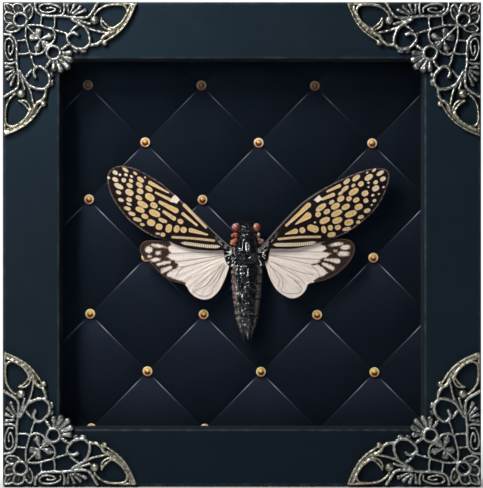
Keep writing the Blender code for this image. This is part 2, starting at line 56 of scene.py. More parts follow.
# The frame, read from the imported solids.
RAIL_LOW, RAIL_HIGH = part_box("rail_left")[0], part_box("rail_right")[1]
FRONT_Y = RAIL_LOW.y
FRAME_WIDTH = (RAIL_HIGH.x - RAIL_LOW.x) / MM
FRAME_HEIGHT = (RAIL_HIGH.z - RAIL_LOW.z) / MM
FRAME_DEPTH = (RAIL_HIGH.y - RAIL_LOW.y) / MM
PANEL_LOW, PANEL_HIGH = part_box("tufted_panel")
PANEL_BACK = (PANEL_HIGH.y - FRONT_Y) / MM

# Rails, in millimetres.
RAIL_FACE = 17.8
RAIL_WALL = 13.8
RAIL_LIP = 3.0
RAIL_ARRIS = 0.55
RAIL_STATIONS = 40
RAIL_WAVE = 0.02
MITRE_GAP = 0.02
# Painted light and shade of each rail: painted paler above 0, painted darker below it.
RAIL_PAINTED_LIGHT = {"top": 0.10, "right": 0.16, "bottom": -0.20, "left": 0.0}

# Tufting.
COLUMN_STEP = np.array((36.4, -0.15))
ROW_STEP = np.array((0.18, -18.36))
TUFT_ORIGIN = np.array((5.75, 71.7))
PAD_VALLEY = 18.5
CREASE_RISE = 1.2
PAD_RISE = 0.95
PAD_FULLNESS = 0.6
PLEAT_RISE = 0.16
PLEAT_PLACE = 0.005
PLEAT_WIDTH = 0.010
# The rows above this one have a fainter painted pleat highlight, by this factor: painted shade.
UPPER_ROWS_END = -1
UPPER_PLEAT_SHADE = 0.62
PAD_SAG = 0.10
PAD_STEPS = (
    0, 0.004, 0.008, 0.012, 0.016, 0.020, 0.026, 0.036, 0.05, 0.07, 0.1, 0.14, 0.19, 0.25, 0.31, 0.375,
    0.44,
)
PAD_ROWS = range(-5, 5)
PAD_COLUMNS = range(-3, 4)
BUTTON_ROWS = {
    -3: (-1.5, -0.5, 0.5), -2: (-1, 0, 1), -1: (-1.5, -0.5, 0.5), 0: (-1, 0, 1),
    1: (-1.5, -0.5, 0.5), 2: (-1, 0, 1), 3: (-1.5, -0.5),
}

# Castings.
CASTING_BACK = -0.3
CASTING_EDGE = 0.45
CASTING_CELL = 0.21
CASTING_SPAN = 43.0
CASTING_MARGIN = 0.3
RING_CENTRES = ((5.7, 5.7), (16.0, 16.0))
RING_RADIUS = 2.08
RING_HALF = 0.68
RING_LIP = 0.02

# A trimmed net keeps this share of a cell between its rim and the cell's corners.
NET_MARGIN = 0.12
# 2 would make the pale cells of the wings plain ovals. More makes them squarer.
SPOT_SQUARENESS = 2.3

# The specimen's own origin, from its head and the roots of its wings.
HEAD_FRONT = 9.4
SPECIMEN_X = (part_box("forewing_left")[1].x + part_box("forewing_right")[0].x) / 2
SPECIMEN_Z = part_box("body")[1].z - HEAD_FRONT * MM


# Shape tools


def to_world(across, depth, up):
    """World points of the specimen."""
    across, depth, up = np.broadcast_arrays(across, depth, up)
    return np.stack([SPECIMEN_X + across * MM, FRONT_Y + depth * MM, SPECIMEN_Z + up * MM], axis=-1)


def solid_mesh(name, points, faces, attributes):
    """A closed mesh with outward faces, and a value or a colour at every point."""
    mesh = bpy.data.meshes.new(name)
    mesh.from_pydata(np.asarray(points).tolist(), [], faces)
    bm = bmesh.new()
    bm.from_mesh(mesh)
    bmesh.ops.recalc_face_normals(bm, faces=bm.faces)
    bm.to_mesh(mesh)
    bm.free()
    for label, values in attributes.items():
        values = np.asarray(values, np.float32)
        if values.ndim == 2:
            layer = mesh.attributes.new(label, "FLOAT_COLOR", "POINT")
            values = np.concatenate([values, np.ones((len(values), 1), np.float32)], axis=1)
            layer.data.foreach_set("color", values.ravel())
        else:
            layer = mesh.attributes.new(label, "FLOAT", "POINT")
            layer.data.foreach_set("value", values)
    return mesh


def finish_piece(name, mesh, paint, nodes, sharp=50, location=(0, 0, 0), turn=0.0):
    """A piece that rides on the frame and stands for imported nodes."""
    mesh.shade_smooth()
    mesh.set_sharp_from_angle(angle=radians(sharp))
    mesh.materials.clear()
    mesh.materials.append(paint)
    obj = bpy.data.objects.new(name, mesh)
    obj.location = location
    obj.rotation_euler.y = turn
    bpy.context.scene.collection.objects.link(obj)
    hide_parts(*nodes)
    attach(obj, ROOT)
    return obj


def add_piece(name, points, faces, paint, nodes, attributes, sharp=50):
    finish_piece(name, solid_mesh(name, points, faces, attributes), paint, nodes, sharp)


def curve_through(points, steps=6, closed=False):
    """A smooth Catmull-Rom curve through given points."""
    points = [np.array(point, float) for point in points]
    count = len(points)
    spans = count if closed else count - 1
    curve = []
    for i in range(spans):
        places = [(i + k) % count if closed else min(max(i + k, 0), count - 1) for k in (-1, 0, 1, 2)]
        before, start, end, after = (points[place] for place in places)
        for step in range(steps):
            t = step / steps
            cubic = 3 * start - before - 3 * end + after
            square = 2 * before - 5 * start + 4 * end - after
            curve.append((2 * start + (end - before) * t + square * t**2 + cubic * t**3) / 2)
    if not closed:
        curve.append(points[-1])
    return np.array(curve)


def to_segment(x, y, start, end):
    """Distance to a straight segment, and how far along it the nearest point is, from 0 to 1."""
    run = np.subtract(end, start)
    share = ((x - start[0]) * run[0] + (y - start[1]) * run[1]) / max(run @ run, 1e-12)
    share = np.clip(share, 0, 1)
    return np.hypot(x - start[0] - share * run[0], y - start[1] - share * run[1]), share


def to_route(x, y, route, closed=False):
    """Distance to a route, and the distance along it to the nearest point."""
    route = np.asarray(route, float)
    if closed:
        route = np.vstack([route, route[:1]])
    nearest = np.full(np.shape(x), 1e9)
    along = np.zeros(np.shape(x))
    travelled = 0.0
    for start, end in zip(route, route[1:]):
        length = hypot(*(end - start))
        gap, share = to_segment(x, y, start, end)
        closer = gap < nearest
        nearest = np.where(closer, gap, nearest)
        along = np.where(closer, travelled + share * length, along)
        travelled += length
    return nearest, along


def inside_loop(x, y, loop):
    """Signed distance to a closed loop, positive inside."""
    loop = np.asarray(loop, float)
    odd = np.zeros(np.shape(x), bool)
    for (x1, y1), (x2, y2) in zip(loop, np.roll(loop, -1, axis=0)):
        if y1 != y2:
            odd ^= ((y1 > y) != (y2 > y)) & (x < x1 + (y - y1) * (x2 - x1) / (y2 - y1))
    return to_route(x, y, loop, closed=True)[0] * np.where(odd, 1, -1)


def inside_spot(x, y, spot, root):
    """Signed depth in an oval whose long axis points at the root."""
    across, up, long, short = spot
    turn = atan2(up - root[1], across - root[0])
    along = (x - across) * cos(turn) + (y - up) * sin(turn)
    over = (y - up) * cos(turn) - (x - across) * sin(turn)
    reach = np.abs(along / long) ** SPOT_SQUARENESS + np.abs(over / short) ** SPOT_SQUARENESS
    return (1 - reach ** (1 / SPOT_SQUARENESS)) * short


def inside_streak(x, y, streak):
    """Signed depth in a round-ended streak whose half width changes along it."""
    start, first, end, last = streak
    gap, share = to_segment(x, y, start, end)
    return first + (last - first) * share - gap


def ripple(x, y, size, seed):
    """A smooth random surface between about -1 and 1, with waves of the given size."""
    draw = np.random.default_rng(seed)
    total = np.zeros(np.shape(x))
    for _ in range(9):
        turn = draw.uniform(0, 2 * pi)
        wave = 2 * pi / (size * draw.uniform(0.7, 1.5))
        total += np.sin(wave * (x * cos(turn) + y * sin(turn)) + draw.uniform(0, 2 * pi))
    return total / 4


def ease(value, low, high):
    """0 below low, 1 above high, and smooth between."""
    share = np.clip((np.asarray(value, float) - low) / (high - low), 0, 1)
    return share * share * (3 - 2 * share)


def bell(value, half):
    """1 where the value is 0, falling off to both sides within about this distance."""
    return np.exp(-((value / half) ** 2))


def cut_net(xs, ys, field):
    """A net of square cells where the field is positive, trimmed along the line where it is zero."""
    points, faces, corners, crossings = [], [], {}, {}
    inside = field > 0

    def corner(place):
        if place not in corners:
            corners[place] = len(points)
            points.append((xs[place[0]], ys[place[1]]))
        return corners[place]

    def crossing(first, second):
        pair = (first, second) if first < second else (second, first)
        if pair not in crossings:
            (i, j), (k, m) = pair
            share = field[i, j] / (field[i, j] - field[k, m])
            share = min(max(share, NET_MARGIN), 1 - NET_MARGIN)
            crossings[pair] = len(points)
            points.append((xs[i] + share * (xs[k] - xs[i]), ys[j] + share * (ys[m] - ys[j])))
        return crossings[pair]

    def trim(places):
        loop = []
        for first, second in zip(places, places[1:] + places[:1]):
            if inside[first]:
                loop.append(corner(first))
            if inside[first] != inside[second]:
                loop.append(crossing(first, second))
        if len(loop) > 2:
            faces.append(loop)

    count = inside[:-1, :-1].astype(int) + inside[1:, :-1] + inside[1:, 1:] + inside[:-1, 1:]
    for i, j in zip(*map(np.ndarray.tolist, np.nonzero(count))):
        cell = ((i, j), (i + 1, j), (i + 1, j + 1), (i, j + 1))
        if count[i, j] == 4:
            faces.append([corner(place) for place in cell])
        else:
            trim(cell[:3])
            trim((cell[0], cell[2], cell[3]))
    return np.array(points), faces


def largest_part(points, faces):
    """The net without any crumb that isn't joined to its largest part."""
    group = list(range(len(points)))

    def find(i):
        while group[i] != i:
            group[i] = group[group[i]]
            i = group[i]
        return i

    for face in faces:
        first = find(face[0])
        for i in face[1:]:
            group[find(i)] = first
    heads = np.array([find(i) for i in range(len(points))])
    keep = heads == np.bincount(heads).argmax()
    number = np.cumsum(keep) - 1
    return points[keep], [[int(number[i]) for i in face] for face in faces if keep[face[0]]]


def net_inside(outline, cell):
    """A fine net inside an outline."""
    low, high = outline.min(axis=0) - cell, outline.max(axis=0) + cell
    xs, ys = np.arange(low[0], high[0], cell), np.arange(low[1], high[1], cell)
    x, y = np.meshgrid(xs, ys, indexing="ij")
    points, faces = largest_part(*cut_net(xs, ys, inside_loop(x, y, outline)))
    return points[:, 0], points[:, 1], faces


def shell(front, back, faces):
    """Points and faces of a closed sheet between two layers of one net."""
    count = len(front)
    closed = [list(face) for face in faces] + [[i + count for i in reversed(face)] for face in faces]
    edges = set()
    for face in faces:
        edges.update(zip(face, face[1:] + face[:1]))
    for i, j in edges:
        if (j, i) not in edges:
            closed.append([j, i, i + count, j + count])
    return np.vstack([front, back]), closed


def ring_faces(rings, sides):
    """Faces of a closed body through rings of equal count, capped at both ends."""
    faces = []
    for r in range(rings - 1):
        for s in range(sides):
            t = (s + 1) % sides
            faces.append([r * sides + s, r * sides + t, (r + 1) * sides + t, (r + 1) * sides + s])
    faces.append(list(range(sides)))
    faces.append([(rings - 1) * sides + s for s in range(sides)])
    return faces


# Material tools


class Paint:
    """A procedural material, whose nodes feed the sockets of one Principled shader."""

    def __init__(self, name, **values):
        self.material = bpy.data.materials.new(name)
        self.material.use_nodes = True
        self.tree = self.material.node_tree
        self.shader = self.tree.nodes["Principled BSDF"]
        self.coordinates = None
        for label, value in values.items():
            self.shader.inputs[label.replace("_", " ")].default_value = value

    def node(self, kind, output, feeds, **settings):
        """One output of a new node, whose inputs get values or links."""
        made = self.tree.nodes.new("ShaderNode" + kind)
        for label, value in settings.items():
            setattr(made, label, value)
        for label, value in feeds.items():
            self.feed(made.inputs[label], value)
        return made.outputs[output]

    def feed(self, socket, value):
        if isinstance(value, bpy.types.NodeSocket):
            self.tree.links.new(value, socket)
        elif isinstance(value, tuple) and socket.type == "RGBA":
            socket.default_value = (*value, 1.0)
        else:
            socket.default_value = value

    def place(self, stretch=(1, 1, 1)):
        """Coordinates on the object, in millimetres."""
        if self.coordinates is None:
            self.coordinates = self.node("TexCoord", "Object", {})
        scale = [factor / MM for factor in stretch]
        return self.node("Mapping", "Vector", {"Vector": self.coordinates, "Scale": scale})

    def coordinate(self, axis):
        return self.node("SeparateXYZ", axis, {0: self.place()})

    def noise(self, size, detail=3.0, rough=0.55, stretch=(1, 1, 1), vector=None):
        """Cloudy noise with features of about this size, in millimetres unless a vector is given."""
        vector = vector or self.place(stretch)
        feeds = {"Vector": vector, "Scale": 1 / size, "Detail": detail, "Roughness": rough}
        return self.node("TexNoise", "Fac", feeds)

    def cells(self, size):
        return self.node("TexVoronoi", "Distance", {"Vector": self.place(), "Scale": 1 / size})

    def attribute(self, name, output="Fac"):
        return self.node("Attribute", output, {}, attribute_name=name)

    def maths(self, operation, first, second=0.0, clamp=False):
        return self.node("Math", 0, {0: first, 1: second}, operation=operation, use_clamp=clamp)

    def times(self, first, second, clamp=False):
        return self.maths("MULTIPLY", first, second, clamp)

    def plus(self, first, second):
        return self.maths("ADD", first, second)

    def waves(self, value, step):
        """A sine along the value, one wave to each step."""
        return self.maths("SINE", self.times(value, 2 * pi / step))

    def ranged(self, value, low, high, start=0.0, end=1.0):
        """Start where the value is at low, end where it is at high, and smooth between."""
        feeds = {"Value": value, "From Min": low, "From Max": high, "To Min": start, "To Max": end}
        return self.node("MapRange", "Result", feeds, interpolation_type="SMOOTHSTEP")

    def mix(self, share, first, second):
        return self.node("Mix", 2, {0: share, 6: first, 7: second}, data_type="RGBA")

    def over(self, base, colour, value, low, high, share=1.0):
        """The colour over the base: this share of it where the value is at high, none at low."""
        return self.mix(self.ranged(value, low, high, 0, share), base, colour)

    def bump(self, height, strength, distance, normal=None):
        """Bump of this depth in millimetres, on top of another bump if one is given."""
        feeds = {"Height": height, "Strength": strength, "Distance": distance * MM}
        return self.node("Bump", "Normal", feeds | ({"Normal": normal} if normal else {}))

    def finish(self, colour=None, roughness=None, metallic=None, normal=None, alpha=None):
        sockets = ("Base Color", "Roughness", "Metallic", "Normal", "Alpha")
        for label, value in zip(sockets, (colour, roughness, metallic, normal, alpha)):
            if value is not None:
                self.feed(self.shader.inputs[label], value)
        return self.material


# Materials

# Steps of the cloth's weave and of the stripes on the forewings' rear bands, in millimetres.
WEAVE = 0.32
STRIPE = 0.62
# Phase of a hindwing's fibres and folds for each radian of its fan.
FIBRE_FAN = 44.0


def rail_paint():
    """Satin blue-black paint over wood: faint brush marks along each rail, paler patches along the arrises.
    """
    paint = Paint("satin rail paint", Specular_IOR_Level=0.15, Specular_Tint=(0.45, 0.72, 1.0, 1.0))
    grain = {"Vector": paint.attribute("grain", "Vector"), "Scale": (0.05, 1, 1)}
    strokes = paint.noise(0.7, 4, vector=paint.node("Mapping", "Vector", grain))
    clouds = paint.noise(18, 3)
    base = paint.mix(clouds, (0.0050, 0.0094, 0.0150), (0.0078, 0.0139, 0.0214))
    base = paint.over(base, (0.0105, 0.0175, 0.026), strokes, 0.35, 0.8, 0.3)
    # Painted light and shade: each rail's own value makes its paint paler or darker.
    base = paint.mix(paint.attribute("painted_light"), base, (0.0160, 0.0290, 0.0430))
    base = paint.mix(paint.times(paint.attribute("painted_light"), -1.0, clamp=True), base, (0.0, 0.0, 0.0))
    # Paler patches along the arrises of the face.
    worn = paint.times(paint.attribute("edge"), paint.ranged(paint.noise(3.5, 5), 0.35, 0.75, 0.15, 0.8))
    base = paint.mix(worn, base, (0.060, 0.075, 0.09))
    rough = paint.ranged(paint.noise(5, 4), 0.25, 0.75, 0.40, 0.50)
    return paint.finish(base, rough, normal=paint.bump(strokes, 0.2, 0.04))


def spacer_paint():
    paint = Paint("matte spacer paint")
    grain = paint.noise(2.5, 4, stretch=(0.2, 1, 0.2))
    base = paint.mix(grain, (0.005, 0.008, 0.013), (0.016, 0.022, 0.031))
    rough = paint.ranged(paint.noise(1.2), 0.3, 0.7, 0.55, 0.75)
    return paint.finish(base, rough, normal=paint.bump(grain, 0.3, 0.06))


def glass():
    """Clear glass: almost nothing but a thin sheen, with faint wiping marks in it."""
    paint = Paint("clear glass", Alpha=0.045, IOR=1.5)
    wipes = paint.noise(9, 4, stretch=(1, 1, 0.35))
    base = paint.mix(wipes, (0.003, 0.010, 0.025), (0.012, 0.024, 0.045))
    return paint.finish(base, paint.ranged(wipes, 0.3, 0.7, 0.02, 0.07))


def padded_cloth():
    """Smooth dark cloth. Each diamond has painted light below its top button, and a painted highlight along
    a pleat that fades from it.
    """
    paint = Paint("padded cloth", Specular_IOR_Level=0.08, Specular_Tint=(0.5, 0.75, 1.0, 1.0))
    threads = paint.ranged(paint.noise(0.5, 3), 0.3, 0.7, 0.75, 1.0)
    painted_pleat_highlight = paint.times(paint.attribute("painted_pleat_highlight"), threads)
    clouds = paint.noise(11, 3)
    base = paint.mix(clouds, (0.0026, 0.0043, 0.0088), (0.0066, 0.0080, 0.0120))
    # Painted light below each top button, then the painted highlight along the pleats.
    base = paint.mix(paint.attribute("painted_glow"), base, (0.0162, 0.0200, 0.0355))
    base = paint.mix(paint.times(painted_pleat_highlight, 0.9), base, (0.78, 0.83, 0.98))
    weave = paint.times(*(paint.waves(paint.coordinate(axis), WEAVE) for axis in "XZ"))
    soft = paint.bump(paint.noise(4, 3), 0.35, 0.25)
    rough = paint.ranged(paint.noise(3, 3), 0.3, 0.7, 0.5, 0.66)
    return paint.finish(base, rough, normal=paint.bump(weave, 0.25, 0.02, soft))


def with_painted_light(painted_light, *colour):
    """The colour made brighter or darker by the painted light, up to white."""
    return tuple(min(painted_light * value, 1.0) for value in colour)


def gilt(painted_light):
    """Polished pale gilt, with a red-brown ring round the crown of the dome. Painted shade: the ring shows
    on the lower half only, and the lower dome and rim are painted darker.
    """
    paint = Paint("gilt", Coat_Weight=0.8, Coat_Roughness=0.12)
    radius = paint.attribute("radius")
    stain = paint.noise(0.6, 3)
    dome = paint.mix(stain, with_painted_light(painted_light, 0.72, 0.36, 0.06), with_painted_light(painted_light, 0.95, 0.54, 0.12))
    # Rows with more painted light get a warmer, less blue rim.
    blue = min(1, 2.2 - 1.25 * painted_light)
    rim = paint.mix(stain, with_painted_light(painted_light, 0.98, 0.74, 0.46 * blue), with_painted_light(min(painted_light, 1), 1, 0.88, 0.68 * blue))
    height = paint.coordinate("Z")
    # Painted shade: the ring round the crown, the lower dome and the lower rim darken towards the bottom.
    hollow = paint.times(paint.ranged(radius, 0.12, 0.3), paint.ranged(radius, 0.68, 0.5))
    dome = paint.mix(paint.times(hollow, paint.ranged(height, 0.35, -0.25)), dome, (0.13, 0.020, 0.005))
    dome = paint.over(dome, (0.20, 0.035, 0.008), height, 0.10, -0.55)
    rim = paint.over(rim, with_painted_light(painted_light, 0.60, 0.27, 0.13), height, 0.1, -1.2)
    base = paint.over(dome, rim, radius, 0.60, 0.74)
    rough = paint.ranged(paint.noise(0.35, 3), 0.3, 0.7, 0.20, 0.34)
    metal = paint.ranged(radius, 0.5, 0.8, 0.12, 0.05)
    return paint.finish(base, rough, metal, paint.bump(stain, 0.2, 0.03))


def casting(painted_light):
    """Antiqued metal: dark in the hollows, rubbed bright on the ridges, warmer at the outer loops."""
    paint = Paint("antiqued casting")
    rise = paint.attribute("rise")
    warmth = paint.attribute("warmth")
    grit = paint.noise(0.7, 5, 0.7)
    worn = paint.plus(rise, paint.ranged(grit, 0.25, 0.75, -0.34, 0.30))
    # The corner's painted light makes its bright and middle colours brighter or darker.
    bright = paint.mix(warmth, with_painted_light(painted_light, 0.42, 0.435, 0.425), with_painted_light(painted_light, 0.47, 0.45, 0.365))
    middle = paint.mix(warmth, with_painted_light(painted_light, 0.105, 0.112, 0.108), with_painted_light(painted_light, 0.135, 0.13, 0.105))
    base = paint.over((0.012, 0.014, 0.015), middle, worn, 0.12, 0.55)
    base = paint.over(base, bright, worn, 0.52, 0.98)
    rough = paint.ranged(worn, 0.0, 1.0, 0.60, 0.34)
    metal = paint.ranged(worn, 0.0, 0.5, 0.5, 0.85)
    return paint.finish(base, rough, metal, paint.bump(grit, 0.8, 0.14))


def fibreboard():
    paint = Paint("fibreboard", Specular_IOR_Level=0.25)
    specks = paint.noise(0.5, 6, 0.7)
    clouds = paint.noise(14, 3)
    base = paint.mix(clouds, (0.115, 0.068, 0.038), (0.20, 0.125, 0.075))
    base = paint.over(base, (0.33, 0.23, 0.15), specks, 0.55, 0.75, 0.6)
    base = paint.over(base, (0.05, 0.03, 0.018), paint.noise(0.9, 4), 0.6, 0.8, 0.5)
    rough = paint.ranged(clouds, 0.3, 0.7, 0.8, 0.92)
    return paint.finish(base, rough, normal=paint.bump(specks, 0.5, 0.08))


def plated(name, dark, light, low, high):
    """Thin plating with a fine rolled grain and cloudy patches."""
    paint = Paint(name, Metallic=1.0)
    roll = paint.noise(0.5, 4, stretch=(0.12, 1, 1))
    patches = paint.cells(2.2)
    base = paint.over(light, dark, patches, 0.1, 0.9)
    base = paint.over(base, dark, roll, 0.3, 0.8, 0.4)
    rough = paint.ranged(roll, 0.3, 0.7, low, high)
    return paint.finish(base, rough, normal=paint.bump(roll, 0.2, 0.03))


def chitin(name, coat):
    """Glossy black to translucent brown chitin, with its own colour at every point."""
    paint = Paint(name, Coat_Weight=coat, Coat_Roughness=0.15, Specular_Tint=(0.85, 0.93, 1.0, 1.0))
    tint = paint.attribute("tint", "Color")
    dull = paint.attribute("dull")
    fine = paint.noise(0.5, 5, 0.6)
    base = paint.over(tint, (0.003, 0.003, 0.004), fine, 0.3, 0.75, 0.45)
    rough = paint.plus(paint.ranged(dull, 0, 1, 0.16, 0.55), paint.ranged(fine, 0.3, 0.7, -0.04, 0.06))
    uneven = paint.times(paint.noise(1.3, 3, 0.5), paint.ranged(dull, 0.03, 0.2, 0.05, 1))
    return paint.finish(base, rough, normal=paint.bump(fine, 0.2, 0.012, paint.bump(uneven, 0.5, 0.16)))


def eye_skin():
    """A dried compound eye: red-brown with a pale pinkish painted highlight, streaked on the left eye, and
    fine facets.
    """
    paint = Paint("compound eye", Coat_Weight=0.5, Coat_Roughness=0.1)
    tint = paint.attribute("tint", "Color")
    facets = paint.cells(0.16)
    base = paint.over(tint, (0.14, 0.022, 0.010), paint.noise(0.7, 3), 0.40, 0.75, 0.6)
    rough = paint.ranged(facets, 0, 0.7, 0.22, 0.4)
    return paint.finish(base, rough, normal=paint.bump(facets, 0.25, 0.02))


def wing_net():
    """Brown-black net with cream to yellow cells, striped streaks at the rear and pale margins."""
    paint = Paint("patterned wing", Specular_IOR_Level=0.12)
    cell, pale, striped, run, edge = map(paint.attribute, ("cell", "pale", "striped", "run", "edge"))
    mottle = paint.noise(0.55, 4, 0.6)
    streaks = paint.noise(0.35, 4, 0.6)
    cream = paint.over((0.80, 0.62, 0.42), (0.76, 0.50, 0.13), cell, 0.10, 0.62)
    cream = paint.over(cream, (0.56, 0.26, 0.08), mottle, 0.44, 0.72, 0.75)
    cream = paint.over(cream, (0.95, 0.82, 0.62), streaks, 0.53, 0.70, 0.65)
    cream = paint.mix(pale, cream, (0.90, 0.77, 0.63))
    stripes = paint.times(striped, paint.ranged(paint.waves(run, STRIPE), 0.1, 0.7, 0.0, 0.75))
    cream = paint.mix(stripes, cream, (0.16, 0.085, 0.05))
    net = paint.mix(paint.noise(0.9, 3), (0.0035, 0.0018, 0.0014), (0.014, 0.0065, 0.0045))
    margin = paint.times(paint.ranged(edge, 0.6, 0.1, 0, 0.9), paint.ranged(streaks, 0.42, 0.62))
    net = paint.mix(paint.times(margin, paint.attribute("outer")), net, (0.36, 0.26, 0.22))
    net = paint.mix(paint.times(paint.attribute("costa"), 0.8), net, (0.48, 0.48, 0.48))
    wobble = paint.plus(cell, paint.ranged(mottle, 0.2, 0.8, -0.07, 0.07))
    base = paint.over(net, cream, wobble, -0.05, 0.22)
    rough = paint.ranged(cell, -0.1, 0.1, 0.42, 0.58)
    return paint.finish(base, rough, normal=paint.bump(paint.noise(0.4, 4), 0.3, 0.05))


def wing_pale():
    """Pinkish white membrane with fibres and veins that fan out, and a dark windowed outer part."""
    paint = Paint("pale wing", Specular_IOR_Level=0.25)
    dark, vein, ridge, edge = map(paint.attribute, ("dark", "vein", "ridge", "edge"))
    round_fan = paint.times(paint.attribute("turn"), FIBRE_FAN)
    along_fan = paint.times(paint.attribute("reach"), 0.16)
    fan = paint.node("CombineXYZ", 0, {0: round_fan, 1: along_fan})
    fibres = paint.noise(1.0, 4, 0.6, vector=fan)
    patches = paint.noise(2.4, 4)
    base = paint.mix(patches, (0.84, 0.73, 0.70), (0.96, 0.87, 0.82))
    base = paint.over(base, (0.52, 0.38, 0.30), fibres, 0.47, 0.75, 0.6)
    base = paint.over(base, (1.0, 0.96, 0.91), fibres, 0.50, 0.24, 0.9)
    base = paint.over(base, (0.96, 0.84, 0.70), ridge, 0.32, 0.08, 0.8)
    base = paint.over(base, (0.20, 0.12, 0.085), vein, 0.20, 0.05, 0.7)
    base = paint.over(base, (0.96, 0.82, 0.67), edge, 0.55, 0.15, 0.7)
    base = paint.over(base, (0.30, 0.20, 0.14), edge, 0.16, 0.02, 0.6)
    brown = paint.mix(paint.noise(0.8, 3), (0.010, 0.005, 0.004), (0.040, 0.019, 0.012))
    brown = paint.over(brown, (0.22, 0.15, 0.11), edge, 0.35, 0.05, 0.45)
    wobble = paint.plus(dark, paint.ranged(paint.noise(0.7, 4, 0.65), 0.2, 0.8, -0.26, 0.26))
    shaded = paint.over(base, (0.40, 0.21, 0.12), wobble, -0.42, -0.04, 0.7)
    base = paint.over(shaded, brown, wobble, -0.18, 0.20)
    rough = paint.ranged(fibres, 0.3, 0.7, 0.45, 0.62)
    return paint.finish(base, rough, normal=paint.bump(fibres, 0.4, 0.06))


def membrane():
    """Crumpled pale membrane over black: its colour follows its height."""
    paint = Paint("wing root membrane", Specular_IOR_Level=0.5)
    rise = paint.attribute("rise")
    pale = paint.over((0.72, 0.69, 0.66), (1.0, 0.98, 0.95), paint.noise(0.9, 3), 0.35, 0.65)
    base = paint.over((0.006, 0.005, 0.005), pale, rise, 0.20, 0.48)
    rough = paint.ranged(rise, 0, 1, 0.2, 0.45)
    return paint.finish(base, rough, normal=paint.bump(paint.noise(0.3, 4), 0.4, 0.05))


# Frame


def rail_profile():
    """Inward place, depth, and how near an arris, round the section of a rail."""
    turns = [radians(step * 18) for step in range(6)]
    outer = [(RAIL_ARRIS * (1 - cos(t)), RAIL_ARRIS * (1 - sin(t)), sin(2 * t) * 0.7 + 0.3) for t in turns]
    inner = [(RAIL_FACE - place, depth, near_arris) for place, depth, near_arris in reversed(outer)]
    face = [(RAIL_FACE * share, 0.0, 0) for share in (0.06, 0.2, 0.4, 0.6, 0.8, 0.94)]
    lip = [(RAIL_FACE, RAIL_LIP, 0), (RAIL_WALL, RAIL_LIP, 0)]
    back = [(RAIL_WALL, FRAME_DEPTH, 0), (0, FRAME_DEPTH, 0)]
    return outer + face + inner + lip + back


def side_place(side, inward, along, depth):
    """A world point on one side of the frame, inwards from its edge and along from its middle."""
    reach = FRAME_WIDTH / 2 if side[0] else FRAME_HEIGHT / 2
    x = side[0] * (reach - inward) - side[1] * along
    z = side[1] * (reach - inward) + side[0] * along
    return (x * MM, FRONT_Y + depth * MM, RAIL_LOW.z + (FRAME_HEIGHT / 2 + z) * MM)


def add_rails():
    paint = rail_paint()
    profile = rail_profile()
    sides = {"top": (0, 1), "right": (1, 0), "bottom": (0, -1), "left": (-1, 0)}
    for seed, (name, side) in enumerate(sides.items()):
        half = (FRAME_HEIGHT if side[0] else FRAME_WIDTH) / 2
        points, grain, edge = [], [], []
        for station in range(RAIL_STATIONS + 1):
            share = 2 * station / RAIL_STATIONS - 1
            for inward, depth, near_arris in profile:
                along = share * (half - inward - MITRE_GAP)
                wave = RAIL_WAVE * float(ripple(along, inward, 16, seed)) if 0 < inward < RAIL_FACE else 0
                points.append(side_place(side, inward, along, max(depth + abs(wave), 0)))
                grain.append((along + 300 * seed, inward, depth))
                edge.append(near_arris)
        values = {"grain": grain, "edge": edge, "painted_light": [RAIL_PAINTED_LIGHT[name]] * len(edge)}
        add_piece(
            f"painted_rail_{name}", points, ring_faces(RAIL_STATIONS + 1, len(profile)), paint,
            [f"rail_{name}"], values, sharp=35,
        )


def dress_nodes():
    """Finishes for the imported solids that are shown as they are."""
    steel = plated("zinced steel", (0.36, 0.37, 0.39), (0.60, 0.61, 0.62), 0.32, 0.5)
    brass = plated("hanger brass", (0.50, 0.33, 0.12), (0.74, 0.55, 0.26), 0.28, 0.42)
    spacer, board = spacer_paint(), fibreboard()
    finishes = {"glass_pane": glass(), "backboard": board, "hanger": brass}
    for side in ("top", "bottom", "left", "right"):
        finishes[f"spacer_{side}"] = spacer
        finishes[f"retaining_tab_{side}"] = steel
    for node, paint in finishes.items():
        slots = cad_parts[node].data.materials
        slots.clear()
        slots.append(paint)


# Tufted panel and buttons


def tuft_point(row, column):
    return TUFT_ORIGIN + COLUMN_STEP * column + ROW_STEP * row


def pad_depth(u, v):
    """Depth of the padding in a diamond, whose top button is at 0, 0 and whose lowest is at 1, 1."""
    along, over = np.sin(pi * u), np.sin(pi * v)
    full = (along * over) ** PAD_FULLNESS
    depth = PAD_VALLEY - CREASE_RISE * (along + over - along * over) - PAD_RISE * full
    for near, far in ((u, v), (v, u)):
        fold = bell(near - PLEAT_PLACE, PLEAT_PLACE * 0.6) * (near > 0)
        depth = depth - PLEAT_RISE * fold * (1 - far) * np.sin(pi * np.clip(far, 0, 1)) ** 0.5
    return depth


def pad_values(u, v, row):
    """The painted highlight along a diamond's pleats, and the painted light below its top button.

    The lower rows get more painted light.
    """
    near, far = np.minimum(u, v), np.maximum(u, v)
    strength = ease(far, 0.09, 0.25) * np.exp(-np.maximum(far - 0.25, 0) / 0.14)
    strength = strength * (UPPER_PLEAT_SHADE if row < UPPER_ROWS_END else 1.0)
    crest = 1 - (1 - near / PLEAT_PLACE) ** 2
    lift = np.clip((row + 3) / 6, 0, 1)
    return {
        "painted_pleat_highlight": np.where((near > 0) & (near < PLEAT_WIDTH), strength * crest, 0),
        "painted_glow": (0.36 + 0.84 * lift) * (1 - u) ** 1.1 * (1 - v) ** 1.7 + 0.20 * lift,
    }


